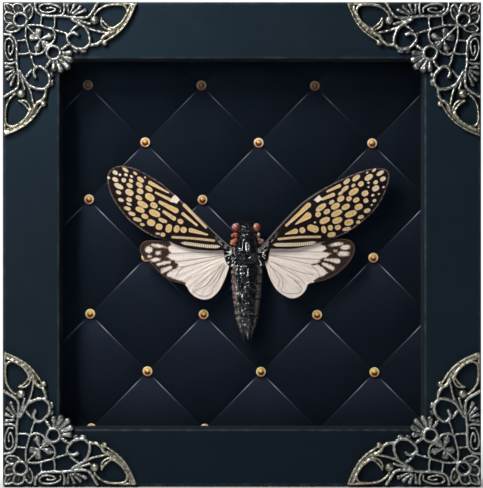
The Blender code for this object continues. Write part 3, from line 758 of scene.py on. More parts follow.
def add_diamond(bm, layers, u, v, row, column):
    """One diamond of the panel's face, as a net of its own."""
    top = tuft_point(row, column + (row % 2) / 2)
    right, left = COLUMN_STEP / 2 + ROW_STEP, ROW_STEP - COLUMN_STEP / 2
    x, z = (top[k] + right[k] * u + left[k] * v for k in (0, 1))
    depth = pad_depth(u, v) + PAD_SAG * ripple(x, z, 9, 5) * np.sin(pi * u) * np.sin(pi * v)
    places = np.stack([x * MM, FRONT_Y + depth * MM, z * MM], axis=-1).tolist()
    net = [[bm.verts.new(place) for place in line] for line in places]
    for label, values in pad_values(u, v, row).items():
        for line, line_values in zip(net, values.tolist()):
            for vertex, value in zip(line, line_values):
                vertex[layers[label]] = value
    for first, second in zip(net, net[1:]):
        for corners in zip(first, second, second[1:], first[1:]):
            bm.faces.new(corners)


def close_panel(bm):
    """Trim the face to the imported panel's edges, and give it sides and a flat back."""
    for point, normal in (
        (PANEL_LOW, (-1, 0, 0)), (PANEL_LOW, (0, 0, -1)), (PANEL_HIGH, (1, 0, 0)), (PANEL_HIGH, (0, 0, 1)),
    ):
        geometry = bm.verts[:] + bm.edges[:] + bm.faces[:]
        bmesh.ops.bisect_plane(bm, geom=geometry, plane_co=point, plane_no=normal, clear_outer=True)
    rim = [edge for edge in bm.edges if edge.is_boundary]
    made = bmesh.ops.extrude_edge_only(bm, edges=rim)["geom"]
    for vertex in (item for item in made if isinstance(item, bmesh.types.BMVert)):
        vertex.co.y = FRONT_Y + PANEL_BACK * MM
    bmesh.ops.contextual_create(bm, geom=[item for item in made if isinstance(item, bmesh.types.BMEdge)])
    bmesh.ops.recalc_face_normals(bm, faces=bm.faces)
    # The new edges and faces come in no fixed order, so they are sorted by their corners.
    bm.verts.index_update()
    for items in (bm.edges, bm.faces):
        ranked = sorted(items, key=lambda item: sorted(vertex.index for vertex in item.verts))
        places = {item: place for place, item in enumerate(ranked)}
        items.sort(key=places.get)


def add_panel():
    """One sheet of diamonds over a flat back."""
    steps = np.array(list(PAD_STEPS) + [0.5] + [1 - step for step in reversed(PAD_STEPS)])
    u, v = np.meshgrid(steps, steps, indexing="ij")
    bm = bmesh.new()
    for label in ("painted_pleat_highlight", "painted_glow"):
        bm.verts.layers.float.new(label)
    layers = {label: bm.verts.layers.float[label] for label in ("painted_pleat_highlight", "painted_glow")}
    for row in PAD_ROWS:
        for column in PAD_COLUMNS:
            add_diamond(bm, layers, u, v, row, column)
    bmesh.ops.remove_doubles(bm, verts=bm.verts, dist=0.01 * MM)
    close_panel(bm)
    mesh = bpy.data.meshes.new("padded_panel")
    bm.to_mesh(mesh)
    bm.free()
    panel = finish_piece("padded_panel", mesh, padded_cloth(), ["tufted_panel"], sharp=60)


BUTTON_RADIUS = 1.60
BUTTON_SIDES = 40
# Painted light on the gilt of each row of buttons: below 1 it is painted shade, above 1 painted light, and
# the top row is darkest.
BUTTON_PAINTED_LIGHT = {-3: 0.42, -2: 0.95, -1: 0.80, 0: 1.1, 1: 1.15, 2: 1.2, 3: 1.2}


def button_mesh():
    """A rimmed dome, turned about Y, with its rim's back at the origin."""
    profile = [
        (0.2, 0.0), (1.47, 0.0), (1.57, -0.10), (1.60, -0.24), (1.54, -0.44), (1.42, -0.56),
        (1.27, -0.56), (1.14, -0.44), (1.07, -0.42), (1.01, -0.56), (0.89, -0.80), (0.67, -1.00),
        (0.42, -1.13), (0.15, -1.18),
    ]
    points, radius = [], []
    for distance, depth in profile:
        for side in range(BUTTON_SIDES):
            turn = 2 * pi * side / BUTTON_SIDES
            points.append((distance * cos(turn) * MM, depth * MM, distance * sin(turn) * MM))
            radius.append(distance / BUTTON_RADIUS)
    mesh = bpy.data.meshes.new("button")
    mesh.from_pydata(points, [], ring_faces(len(profile), BUTTON_SIDES))
    layer = mesh.attributes.new("radius", "FLOAT", "POINT")
    layer.data.foreach_set("value", radius)
    return mesh


def add_buttons():
    for row, columns in BUTTON_ROWS.items():
        mesh, paint = button_mesh(), gilt(BUTTON_PAINTED_LIGHT[row])
        for number, column in enumerate(columns, 1):
            node = f"button_{row + 4}_{number}"
            x, z = tuft_point(row, column) * MM
            finish_piece(
                f"gilt_{node}", mesh, paint, [node], sharp=60,
                location=(x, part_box(node)[1].y, z), turn=0.2 * sin(2.3 * row + 1.7 * column),
            )


# Cast corners

# Each wire is a route, its half width, and the height of its crest above the casting's back.
WIRES = [
    # The long stem, from round the oval to the edge of the frame.
    ([(10.2, 0.6), (10.4, 2.2), (11.1, 3.4), (12.7, 4.3), (15.9, 4.55), (18.8, 4.5), (22.0, 4.95),
      (25.2, 5.1), (27.1, 4.6), (28.4, 2.8), (29.8, 0.6)], 0.62, 1.40),
    ([(18.7, 4.3), (19.4, 2.9), (19.3, 0.7)], 0.50, 1.20),
    ([(18.2, 3.3), (18.0, 1.9), (15.2, 0.85), (12.4, 1.1), (11.6, 2.1), (12.6, 3.2), (15.0, 3.35),
      (16.7, 2.6), (15.6, 1.95), (14.0, 2.1)], 0.43, 1.35),
    # Petals round the first ring.
    ([(4.0, 3.6), (3.4, 1.4), (4.8, 0.6), (6.5, 1.5), (6.9, 3.8)], 0.42, 1.15),
    ([(7.2, 3.6), (7.1, 2.4), (8.5, 1.0), (9.5, 2.2), (9.2, 4.5), (8.1, 5.8)], 0.42, 1.15),
    ([(3.3, 1.3), (2.0, 0.75), (0.75, 0.75)], 0.42, 1.10),
    # Lattice and the panel of four leaves.
    ([(7.8, 7.5), (9.8, 7.3), (11.9, 7.5), (13.8, 8.05), (15.7, 8.5)], 0.48, 1.20),
    ([(16.4, 5.0), (16.4, 7.0), (16.1, 8.3)], 0.44, 1.15),
    ([(12.3, 4.7), (12.0, 7.5)], 0.42, 1.10),
    ([(15.6, 8.5), (16.4, 9.7), (16.5, 11.0), (16.1, 12.3), (15.1, 13.3), (13.9, 13.9)], 0.50, 1.25),
    ([(8.0, 8.0), (14.0, 14.0)], 0.42, 1.20),
    ([(11.8, 11.8), (14.0, 11.2), (16.2, 10.5)], 0.34, 1.00),
    # The scroll, its stub and the links to it.
    ([(22.0, 5.7), (24.3, 7.0), (25.9, 8.1), (26.9, 9.9), (27.4, 11.8), (27.1, 13.4), (25.8, 14.6),
      (23.9, 14.8), (22.1, 14.1), (20.6, 12.5), (20.3, 11.1), (21.2, 10.1), (22.5, 9.85),
      (23.6, 10.3)], 0.70, 1.55),
    ([(21.4, 9.2), (22.4, 8.3), (23.7, 7.4)], 0.55, 1.00),
    ([(15.9, 8.7), (17.7, 9.2), (19.9, 9.9), (20.8, 10.7)], 0.42, 1.10),
    ([(18.2, 15.0), (19.3, 14.2), (20.6, 13.6)], 0.50, 1.20),
    # Leaves beside the stem.
    ([(21.6, 5.6), (24.7, 6.2), (27.4, 7.0)], 0.52, 1.10),
    ([(25.6, 7.6), (28.1, 8.8), (30.2, 9.35), (32.6, 9.8)], 0.50, 1.15),
    ([(27.3, 13.6), (29.3, 13.4), (30.8, 12.4), (31.8, 10.9), (33.4, 9.9)], 0.70, 1.40),
    ([(31.1, 5.2), (31.6, 6.2), (32.5, 7.2), (33.7, 8.1), (34.4, 8.7)], 0.45, 1.35),
    ([(31.0, 5.4), (31.1, 7.2), (32.3, 8.4), (34.0, 8.9)], 0.45, 1.25),
    # The large loop at the end.
    ([(28.9, 4.1), (30.3, 2.5), (32.2, 1.45), (34.6, 1.0), (36.9, 1.0), (38.3, 1.4), (39.0, 2.5),
      (38.9, 3.9), (38.0, 5.5), (36.8, 6.9), (35.4, 7.9), (34.0, 8.5)], 0.50, 1.45),
    ([(32.4, 12.4), (33.6, 11.6), (35.6, 10.3), (37.9, 8.1), (39.6, 5.6), (40.9, 2.9),
      (41.6, 1.0)], 0.46, 1.60),
    ([(33.8, 9.0), (35.6, 8.1), (37.2, 6.7), (38.6, 4.8), (39.5, 2.9), (39.9, 1.5)], 0.36, 1.50),
    ([(36.4, 0.9), (39.0, 0.75), (41.6, 0.8)], 0.50, 1.15),
]
# The broad rim round the large loop, between two of its wires.
RIM = [(33.0, 10.2), (34.9, 9.2), (36.9, 7.6), (38.7, 5.5), (39.9, 3.5), (40.6, 1.9), (40.9, 1.1)]
# Ribs and leaves that widen towards a round end: start, end, half width at each, and height.
RIBS = [
    ((20.7, 3.7), (20.5, 1.2), 0.35, 0.75, 1.3), ((21.3, 3.7), (22.5, 1.2), 0.35, 0.75, 1.3),
    ((21.9, 3.9), (24.4, 1.7), 0.35, 0.75, 1.3), ((22.6, 4.2), (26.0, 2.7), 0.35, 0.75, 1.3),
    ((11.7, 11.2), (11.3, 9.4), 0.35, 1.30, 1.1), ((12.4, 11.6), (14.6, 10.9), 0.35, 1.30, 1.1),
    ((13.0, 12.4), (14.0, 13.0), 0.35, 0.75, 1.1),
]
# Balls: centre, radius and height.
BALLS = [
    ((28.85, 5.85), 1.55, 1.90), ((18.2, 1.9), 0.45, 1.05), ((17.6, 9.2), 0.62, 1.25),
    ((19.9, 9.95), 0.60, 1.25), ((19.9, 14.2), 0.68, 1.35), ((27.5, 13.5), 0.85, 1.50),
    ((32.0, 12.9), 1.15, 1.60), ((28.5, 3.1), 0.6, 1.3),
]
# Leaves and scallops: centre, half length, half width, direction in degrees, height and shine.
LEAVES = [
    ((5.2, 2.35), 1.15, 0.42, 85, 0.95, 0.5), ((8.3, 3.1), 1.25, 0.42, 120, 0.95, 0.5),
    ((1.9, 1.9), 1.25, 0.40, 45, 0.95, 0.5),
    ((25.4, 15.5), 1.25, 0.72, -12, 1.25, 0.8), ((22.9, 15.6), 0.95, 0.55, 20, 1.10, 0.6),
]
# Lobes of the fan round the second ring: direction, reach, half width at the end and brightness.
LOBES = [(-22, 4.0, 0.52, 1.0), (1, 6.1, 0.98, 0.82), (23, 6.9, 1.12, 0.86), (45, 7.3, 1.15, 0.82)]
# Thin webs of metal between the wires.
PLATES = [
    [(0.5, 0.5), (4.8, 0.5), (7.0, 1.4), (8.4, 1.0), (9.4, 2.4), (8.9, 4.8), (7.0, 7.0), (4.8, 8.9),
     (2.4, 9.4), (1.0, 8.4), (1.4, 7.0), (0.5, 4.8)],
    [(31.0, 5.8), (32.0, 6.8), (33.8, 8.4), (32.6, 8.6), (31.2, 7.6)],
    [(35.8, 8.8), (37.7, 7.0), (39.0, 5.0), (39.6, 3.2), (39.3, 1.6), (38.6, 1.0), (41.2, 0.9),
     (40.6, 3.0), (39.1, 6.0), (36.8, 8.7)],
]
PLATE_RISE = 0.12


class Relief:
    """Half a casting: a field that is positive on metal, a height and a brightness."""

    def __init__(self, x, y):
        self.x, self.y = x, y
        self.field = np.full(x.shape, -9.0)
        self.height = np.zeros(x.shape)
        self.rise = np.zeros(x.shape)

    def web(self, loop):
        """A thin flat web inside a loop."""
        depth = inside_loop(self.x, self.y, curve_through(loop, 4, closed=True))
        raised = CASTING_EDGE + PLATE_RISE * ease(depth, 0, 0.5)
        self.field = np.maximum(self.field, depth)
        self.height = np.maximum(self.height, np.where(depth > 0, raised, 0))

    def ridge(self, gap, half, crest, shine=1.0, flatness=0.7):
        """A rounded ridge of this half width and height, from the distance to its middle."""
        share = np.clip(1 - (gap / half) ** 2, 0, 1) ** flatness
        raised = CASTING_EDGE + (crest - CASTING_EDGE) * share**0.7
        self.field = np.maximum(self.field, half - gap)
        self.height = np.maximum(self.height, np.where(gap < half, raised, 0))
        self.rise = np.maximum(self.rise, shine * share)

    def wire(self, route, half, crest):
        """A wire with slightly uneven sides."""
        gap, along = to_route(self.x, self.y, curve_through(route, 5))
        self.ridge(gap * (1 + 0.07 * np.sin(along * 2.1) + 0.05 * np.sin(along * 5.3)), half, crest)

    def rib(self, start, end, first, last, crest):
        gap, share = to_segment(self.x, self.y, start, end)
        self.ridge(gap, first + (last - first) * share, crest, 0.8, 0.5)

    def ball(self, centre, radius, crest, shine=1.0):
        self.ridge(np.hypot(self.x - centre[0], self.y - centre[1]), radius, crest, shine)

    def ring(self, centre):
        gap = np.abs(np.hypot(self.x - centre[0], self.y - centre[1]) - RING_RADIUS)
        self.ridge(gap, RING_HALF, 1.85)

    def lobe(self, centre, turn, far, half, shine):
        """A petal that widens outwards, with a bead near its end."""
        way = np.array((cos(radians(turn)), sin(radians(turn))))
        bead = (far - half) * way
        gap, share = to_segment(self.x - centre[0], self.y - centre[1], 2.6 * way, bead)
        self.ridge(gap, 0.50 + (half - 0.50) * share, 1.25 + 0.35 * share, shine, 0.4)
        self.ball((centre[0] + bead[0], centre[1] + bead[1]), 0.4 * half, 1.75, 0.95)

    def leaf(self, centre, long, short, turn, crest, shine):
        x, y = self.x - centre[0], self.y - centre[1]
        c, s = cos(radians(turn)), sin(radians(turn))
        gap = np.hypot((x * c + y * s) / long, (y * c - x * s) / short) * short
        self.ridge(gap, short, crest, shine, 0.5)


def casting_relief(x, y):
    """Field, height and brightness of half a casting."""
    relief = Relief(x, y)
    for loop in PLATES:
        relief.web(loop)
    for wire in WIRES:
        relief.wire(*wire)
    relief.ridge(to_route(x, y, curve_through(RIM, 5))[0], 1.12, 1.25, 0.72)
    for rib in RIBS:
        relief.rib(*rib)
    for centre in RING_CENTRES:
        relief.ring(centre)
    for lobe in LOBES:
        relief.lobe(RING_CENTRES[1], *lobe)
    for leaf in LEAVES:
        relief.leaf(*leaf)
    for ball in BALLS:
        relief.ball(*ball)
    return relief.field, relief.height, relief.rise


def casting_mesh():
    """The openwork corner at the top left, with its corner at the origin."""
    ticks = np.arange(0, CASTING_SPAN, CASTING_CELL)
    x, y = np.meshgrid(ticks, ticks, indexing="ij")
    field, height, rise = casting_relief(x, y)
    field, height, rise = (np.maximum(layer, layer.T) for layer in (field, height, rise))
    height = height + 0.10 * ripple(x, y, 1.5, 91) * ease(height, 0.6, 1.2)
    rise = np.clip(rise * (1 + 0.16 * ripple(x, y, 1.9, 92)), 0, 1.2)
    for cx, cy in RING_CENTRES:
        field = np.minimum(field, np.hypot(x - cx, y - cy) - RING_RADIUS + RING_HALF - RING_LIP)
    field = np.minimum(field, np.minimum(x, y) - CASTING_MARGIN)
    points, faces = largest_part(*cut_net(ticks, ticks, field))

    def sample(layer):
        """The layer's value at each point, from the four nearest places of the net."""
        spot = points / CASTING_CELL
        low = np.clip(np.floor(spot).astype(int), 0, len(ticks) - 2)
        (i, j), (a, b) = low.T, (spot - np.floor(spot)).T
        first = layer[i, j] * (1 - a) + layer[i + 1, j] * a
        second = layer[i, j + 1] * (1 - a) + layer[i + 1, j + 1] * a
        return first * (1 - b) + second * b

    def layer_at(depth):
        x, y = points.T
        return np.stack([x * MM, FRONT_Y + (CASTING_BACK - depth) * MM, -y * MM], axis=1)

    front = layer_at(np.maximum(sample(height), CASTING_EDGE))
    solid, closed = shell(front, layer_at(np.zeros(len(points))), faces)
    shine, warmth = sample(rise), ease(points.max(axis=1), 24, 34)
    values = {"rise": np.concatenate([shine, shine * 0]), "warmth": np.concatenate([warmth, warmth])}
    return solid_mesh("filigree", solid, closed, values)


def add_castings():
    """The same casting at each corner, turned, and each with its own painted light: darkest at the top
    left, brightest at the bottom right.
    """
    mesh = casting_mesh()
    corners = {
        "top_left": (RAIL_LOW.x, RAIL_HIGH.z, 0.86), "top_right": (RAIL_HIGH.x, RAIL_HIGH.z, 1.03),
        "bottom_right": (RAIL_HIGH.x, RAIL_LOW.z, 1.14), "bottom_left": (RAIL_LOW.x, RAIL_LOW.z, 1.06),
    }
    for quarter, (name, (x, z, painted_light)) in enumerate(corners.items()):
        finish_piece(
            f"filigree_{name}", mesh.copy(), casting(painted_light), [f"corner_{name}"], sharp=70,
            location=(x, 0, z), turn=quarter * pi / 2,
        )


# Wings

WING_OUTLINES = {
    "forewing_left": [
        (-4.2, 0.8), (-6.0, 2.0), (-9.2, 4.9), (-13.3, 8.9), (-18.1, 13.4), (-22.9, 17.6), (-26.6, 20.8),
        (-30.8, 23.5), (-35.6, 25.9), (-40.0, 26.8), (-43.2, 25.6), (-44.3, 22.9), (-43.5, 18.4),
        (-41.3, 14.3), (-38.1, 10.2), (-34.9, 7.5), (-31.8, 5.4), (-28.3, 3.8), (-25.1, 3.0), (-21.3, 1.3),
        (-16.5, 0.2), (-10.2, -0.2), (-6.4, 0.1), (-4.3, 0.1),
    ],
    "forewing_right": [
        (4.2, 0.9), (6.8, 3.9), (9.1, 6.6), (13.4, 11.2), (18.1, 15.6), (23.5, 19.1), (27.9, 21.4),
        (32.7, 23.6), (38.4, 25.6), (42.2, 26.0), (44.7, 25.2), (45.2, 23.6), (44.8, 21.0), (43.2, 16.8),
        (40.6, 12.7), (36.5, 8.9), (32.1, 5.8), (27.9, 3.8), (24.8, 3.0), (20.0, 1.5), (15.2, 0.5),
        (10.5, 0.4), (6.9, 0.4), (4.3, 0.1),
    ],
    "hindwing_left": [
        (-4.5, -1.0), (-6.7, 0.3), (-13.3, 1.3), (-19.7, 2.4), (-25.1, 2.9), (-29.2, 3.0), (-32.4, 2.8),
        (-33.9, 1.2), (-33.9, -0.6), (-33.2, -1.9), (-30.8, -4.0), (-27.6, -7.4), (-24.4, -9.7),
        (-20.6, -10.7), (-19.1, -11.7), (-18.1, -13.4), (-16.2, -15.0), (-13.7, -15.8), (-11.1, -15.1),
        (-8.7, -12.7), (-6.8, -8.9), (-5.5, -4.9), (-4.8, -2.6),
    ],
    "hindwing_right": [
        (4.5, -0.9), (7.3, 0.5), (13.7, 0.9), (18.4, 1.5), (23.2, 2.5), (27.4, 3.3), (31.1, 3.5),
        (33.5, 2.6), (34.4, 0.4), (33.3, -2.9), (31.1, -5.5), (27.9, -8.1), (24.4, -9.7), (21.3, -10.3),
        (19.5, -10.9), (18.7, -12.8), (16.8, -14.7), (14.3, -15.4), (11.7, -14.4), (9.2, -12.3),
        (7.3, -8.9), (6.1, -5.2), (4.9, -2.6),
    ],
}
WING_CELL = 0.17
SPOT_GROWTH = 0.07
WINDOW_GROWTH = 0.05
MEMBRANE_HALF = 0.10
FORE_ROOT = {"left": (-7.0, 1.5), "right": (7.0, 1.5)}
HIND_ROOT = {"left": (-6.3, -1.4), "right": (6.2, -1.2)}
# How many points of an outline, from the hinge, lie along its leading edge.
FORE_LEADING = 10

# Pale cells of each forewing: across, up, half length and half width.
FORE_SPOTS = {
    "right": [
        (40.4, 25.4, 0.73, 0.39), (42.3, 24.4, 1.3, 0.62), (43.2, 22.6, 0.93, 0.67),
        (38.2, 24.6, 0.36, 0.23), (34.7, 22.9, 1.4, 0.73), (38.7, 23.1, 1.45, 0.83),
        (31.7, 21.8, 1.19, 0.65), (36.2, 21.0, 0.93, 0.78), (38.6, 21.4, 0.36, 0.36),
        (40.9, 21.5, 0.75, 0.6), (38.6, 20.0, 0.31, 0.29), (40.9, 19.6, 1.19, 0.83),
        (43.4, 20.0, 0.41, 0.26), (41.9, 17.8, 0.36, 0.26), (31.2, 19.5, 1.3, 0.62),
        (33.8, 20.5, 0.7, 0.47), (33.9, 18.5, 1.71, 0.88), (37.5, 18.0, 1.09, 0.88),
        (40.0, 17.4, 0.52, 0.36), (40.5, 15.7, 0.62, 0.47), (29.8, 18.1, 0.93, 0.47),
        (29.8, 16.3, 1.19, 0.83), (32.4, 16.3, 0.88, 0.73), (34.7, 15.9, 1.04, 0.73),
        (37.8, 15.7, 0.78, 0.73), (26.9, 15.2, 0.93, 0.57), (23.5, 13.5, 1.87, 0.83),
        (28.1, 13.9, 1.45, 0.88), (31.4, 13.7, 1.35, 0.83), (35.5, 13.7, 1.3, 0.93),
        (39.6, 14.3, 0.36, 0.26), (38.2, 12.5, 1.04, 0.67), (25.4, 12.2, 1.09, 0.73),
        (22.6, 11.3, 0.88, 0.78), (28.5, 11.7, 1.87, 0.88), (33.0, 11.5, 1.97, 0.93),
        (36.2, 10.5, 0.98, 0.57), (24.7, 9.4, 1.71, 0.91), (28.7, 9.4, 1.61, 0.93),
        (32.4, 8.8, 1.45, 0.98), (35.4, 8.9, 0.67, 0.52), (21.6, 8.8, 0.31, 0.29),
        (17.6, 6.3, 0.91, 0.93), (24.4, 6.5, 0.78, 1.14), (26.5, 7.1, 0.78, 0.86),
        (28.9, 7.2, 0.93, 0.78), (31.7, 6.7, 1.35, 0.57), (26.9, 4.9, 1.3, 0.78),
    ],
    "left": [
        (-38.6, 25.5, 1.09, 0.47), (-41.8, 24.6, 0.88, 0.62), (-40.3, 23.9, 0.41, 0.36),
        (-38.4, 23.9, 0.57, 0.44), (-36.7, 23.4, 0.52, 0.36), (-35.5, 24.4, 0.73, 0.41),
        (-44.0, 23.0, 0.57, 0.39), (-41.8, 22.4, 0.98, 0.62), (-39.1, 22.2, 0.73, 0.67),
        (-36.8, 22.0, 0.73, 0.52), (-33.8, 22.4, 1.24, 0.67), (-32.4, 23.1, 0.31, 0.26),
        (-40.7, 20.3, 1.56, 0.73), (-37.2, 20.5, 1.04, 0.65), (-34.1, 20.7, 1.17, 0.67),
        (-31.1, 19.5, 1.3, 0.67), (-40.7, 18.3, 0.88, 0.52), (-37.3, 18.3, 1.35, 0.93),
        (-33.9, 18.7, 1.09, 0.8), (-40.0, 15.9, 0.93, 0.52), (-37.4, 16.0, 0.93, 0.65),
        (-34.3, 16.6, 1.11, 0.67), (-30.8, 16.8, 1.61, 1.04), (-37.4, 14.6, 0.83, 0.36),
        (-37.9, 13.2, 1.09, 0.57), (-33.1, 14.5, 1.81, 0.86), (-29.5, 14.2, 1.19, 0.86),
        (-27.8, 13.0, 0.31, 0.29), (-36.5, 11.5, 1.14, 0.6), (-33.9, 12.8, 1.5, 0.8),
        (-29.3, 11.7, 1.87, 0.98), (-34.8, 9.7, 1.35, 0.6), (-32.4, 10.7, 1.09, 0.75),
        (-26.7, 9.4, 1.45, 0.6), (-33.2, 8.1, 0.73, 0.47), (-30.4, 8.7, 1.3, 1.04),
        (-27.9, 7.4, 1.06, 0.96), (-24.8, 6.9, 0.98, 1.35), (-28.3, 5.2, 0.73, 0.34),
        (-26.7, 4.9, 0.75, 0.65), (-21.1, 9.1, 0.93, 0.75), (-22.3, 6.7, 0.88, 1.14),
        (-20.1, 6.4, 1.0, 0.91),
    ],
}
# Long cells: start, its half width, end, its half width.
FORE_STREAKS = {
    "right": [
        ((25.5, 18.6), 0.35, (29.4, 20.4), 0.55), ((24.1, 16.2), 0.45, (27.4, 17.6), 0.62),
        ((12.5, 7.8), 0.39, (19.6, 14.3), 0.78), ((15.4, 8.2), 0.18, (19.4, 10.9), 1.09),
        ((12.3, 5.1), 0.22, (15.4, 6.0), 0.85), ((20.2, 7.1), 1.04, (21.7, 6.6), 1.09),
    ],
    "left": [
        ((-30.8, 21.4), 0.62, (-24.9, 18.2), 0.26), ((-28.9, 18.2), 0.36, (-23.6, 15.6), 0.55),
        ((-27.6, 15.2), 0.52, (-22.5, 12.5), 0.85), ((-26.4, 12.2), 0.47, (-23.1, 10.0), 0.67),
        ((-19.9, 14.3), 0.52, (-13.0, 7.2), 0.40), ((-20.3, 11.5), 0.52, (-15.9, 7.9), 0.36),
        ((-17.8, 6.3), 0.73, (-12.6, 4.9), 0.30),
    ],
}
# The white patch at the node of the leading edge.
FORE_NODES = {
    "right": [(21.2, 15.9), (22.9, 17.6), (23.6, 16.8), (24.0, 16.0), (22.4, 15.0)],
    "left": [(-23.9, 16.6), (-22.7, 17.9), (-21.2, 16.0), (-22.4, 14.6), (-24.2, 15.6)],
}
# Cross-striped bands at the rear: route and half width.
FORE_BANDS = {
    "right": [
        ([(10.1, 3.5), (17.0, 4.1), (23.3, 4.2)], 0.42),
        ([(7.6, 1.7), (13.0, 1.7), (18.0, 1.9), (22.6, 2.6)], 0.62),
    ],
    "left": [
        ([(-23.6, 4.1), (-17.0, 3.7), (-10.4, 3.0)], 0.44),
        ([(-21.6, 2.4), (-17.0, 1.8), (-12.0, 1.2), (-7.8, 1.1)], 0.58),
    ],
}


def wing_ground(name):
    """The net of a wing, and its outline."""
    outline = curve_through(WING_OUTLINES[name], 6, closed=True)
    return *net_inside(outline, WING_CELL), outline


def forewing_depth(x, y):
    span = np.abs(x)
    offset = (y - 0.52 * span + 1.5) / 9.0
    return 8.9 + 0.020 * span + 0.9 * np.minimum(offset**2, 1.0)


def hindwing_depth(x, y):
    return 10.5 + 0.020 * np.abs(x) + 0.7 * ((y + 3.0) / 12.0) ** 2


def add_wing(node, x, y, faces, depth, lift, paint, attributes):
    """A thin wing whose relief stands up on both of its faces."""
    front = to_world(x, depth - MEMBRANE_HALF - lift, y)
    back = to_world(x, depth + MEMBRANE_HALF + 0.4 * lift, y)
    points, closed = shell(front, back, faces)
    doubled = {label: np.concatenate([values, values]) for label, values in attributes.items()}
    add_piece(f"cicada_{node}", points, closed, paint, [node], doubled, sharp=60)


def base_lines(x, y, leading, reach):
    """Thin pale lines: one along the leading edge, and short broken ones near the wing's root."""
    lines = 0.75 * bell(leading - 0.36, 0.10) * ease(reach, 34, 26)
    broken = ease(ripple(x, y, 1.6, 17), -0.3, 0.2) * ease(reach, 12.5, 7.5)
    for gap in (0.95, 1.55):
        lines = np.maximum(lines, 1.2 * broken * bell(leading - gap, 0.13))
    return lines


def forewing_cells(x, y, side):
    """How far inside a pale cell each point is, and how white the cell is."""
    cell, pale = np.full(x.shape, -9.0), np.zeros(x.shape)
    for spot in FORE_SPOTS[side]:
        depth = inside_spot(x, y, spot, FORE_ROOT[side]) + SPOT_GROWTH
        cell = np.maximum(cell, depth)
        pale = np.where(depth > -0.15, ease(abs(spot[0]), 34, 44) * 0.6 + 0.5 * (spot[2] < 0.6), pale)
    for streak in FORE_STREAKS[side]:
        cell = np.maximum(cell, inside_streak(x, y, streak) + 0.6 * SPOT_GROWTH)
    node = inside_loop(x, y, FORE_NODES[side])
    return np.maximum(cell, node), np.maximum(pale, ease(node, -0.2, 0.0))


def add_forewings():
    paint = wing_net()
    for side in SIDES:
        x, y, faces, outline = wing_ground(f"forewing_{side}")
        cell, pale = forewing_cells(x, y, side)
        striped, run = np.zeros(x.shape), np.zeros(x.shape)
        for number, (route, half) in enumerate(FORE_BANDS[side]):
            gap, along = to_route(x, y, curve_through(route, 8))
            taper = ease(along, 0, 2) * ease(along, along.max(), along.max() - 2) if number else 1
            depth = half * taper - gap
            cell = np.maximum(cell, depth)
            near = depth > -0.2
            striped = np.where(near, 0.55 + 0.45 * number, striped)
            run = np.where(near, along, run)
            pale = np.where(near & (number > 0), 0.75, pale)
        edge = to_route(x, y, outline, closed=True)[0]
        reach = np.hypot(x, y)
        leading = to_route(x, y, curve_through(WING_OUTLINES[f"forewing_{side}"][:FORE_LEADING], 6))[0]
        lift = 0.07 * ease(cell, 0.12, -0.08) + 0.02 * ripple(x, y, 1.6, 11)
        lift = lift + 0.12 * bell(leading - 0.32, 0.20) + 0.10 * bell(leading - 0.95, 0.18) * (reach < 27)
        values = {
            "cell": np.clip(cell, -1, 1), "pale": np.clip(pale, 0, 1), "striped": striped,
            "run": run, "edge": np.clip(edge, 0, 2), "outer": ease(reach, 24, 34),
            "costa": base_lines(x, y, leading, reach),
        }
        depth = forewing_depth(x, y)
        add_wing(f"forewing_{side}", x, y, faces, depth, lift, paint, values)


# The dark outer part of each hindwing with its pale windows and streaks, then the wing's veins
# and folds.
HIND_DARK = {
    "left": [
        (-25.1, 4.5), (-25.1, 3.0), (-24.1, 1.7), (-25.4, 0.8), (-24.3, -0.9), (-25.8, -2.2),
        (-23.5, -3.2), (-22.0, -4.6), (-22.2, -5.5), (-23.6, -6.2), (-25.3, -7.4), (-25.6, -8.3),
        (-23.5, -9.1), (-21.3, -9.8), (-19.6, -10.4), (-19.6, -13.0), (-36.0, -13.0), (-36.0, 4.5),
    ],
    "right": [
        (25.2, 4.5), (25.2, 2.9), (23.6, 2.0), (25.6, 0.6), (24.3, -0.4), (26.8, -1.1), (25.2, -2.4),
        (23.4, -2.9), (23.0, -4.0), (20.8, -4.4), (20.8, -4.7), (22.8, -4.7), (24.4, -5.8), (25.8, -7.1),
        (24.4, -8.2), (23.0, -8.6), (21.4, -9.7), (21.4, -13.0), (36.0, -13.0), (36.0, 4.5),
    ],
}
HIND_WINDOWS = {
    "left": [
        (-28.4, 1.3, 2.11, 0.51), (-31.2, 0.1, 1.15, 1.05), (-28.2, -0.9, 0.84, 0.59),
        (-30.9, -2.0, 0.63, 0.38), (-29.0, -3.1, 1.58, 0.67), (-25.6, -6.1, 1.6, 0.62),
    ],
    "right": [
        (28.5, 1.8, 1.86, 0.52), (31.3, 0.9, 1.55, 0.74), (28.2, -0.3, 0.45, 0.37), (30.7, -1.2, 1.76, 0.8),
    ],
}
HIND_STREAKS = {
    "left": [((-28.3, -4.6), 0.5, (-24.7, -3.8), 0.45), ((-26.8, -6.9), 0.5, (-24.3, -5.5), 0.5)],
    "right": [((24.8, -3.0), 0.2, (28.9, -3.5), 0.8), ((24.4, -4.4), 0.5, (27.2, -5.8), 0.66)],
}
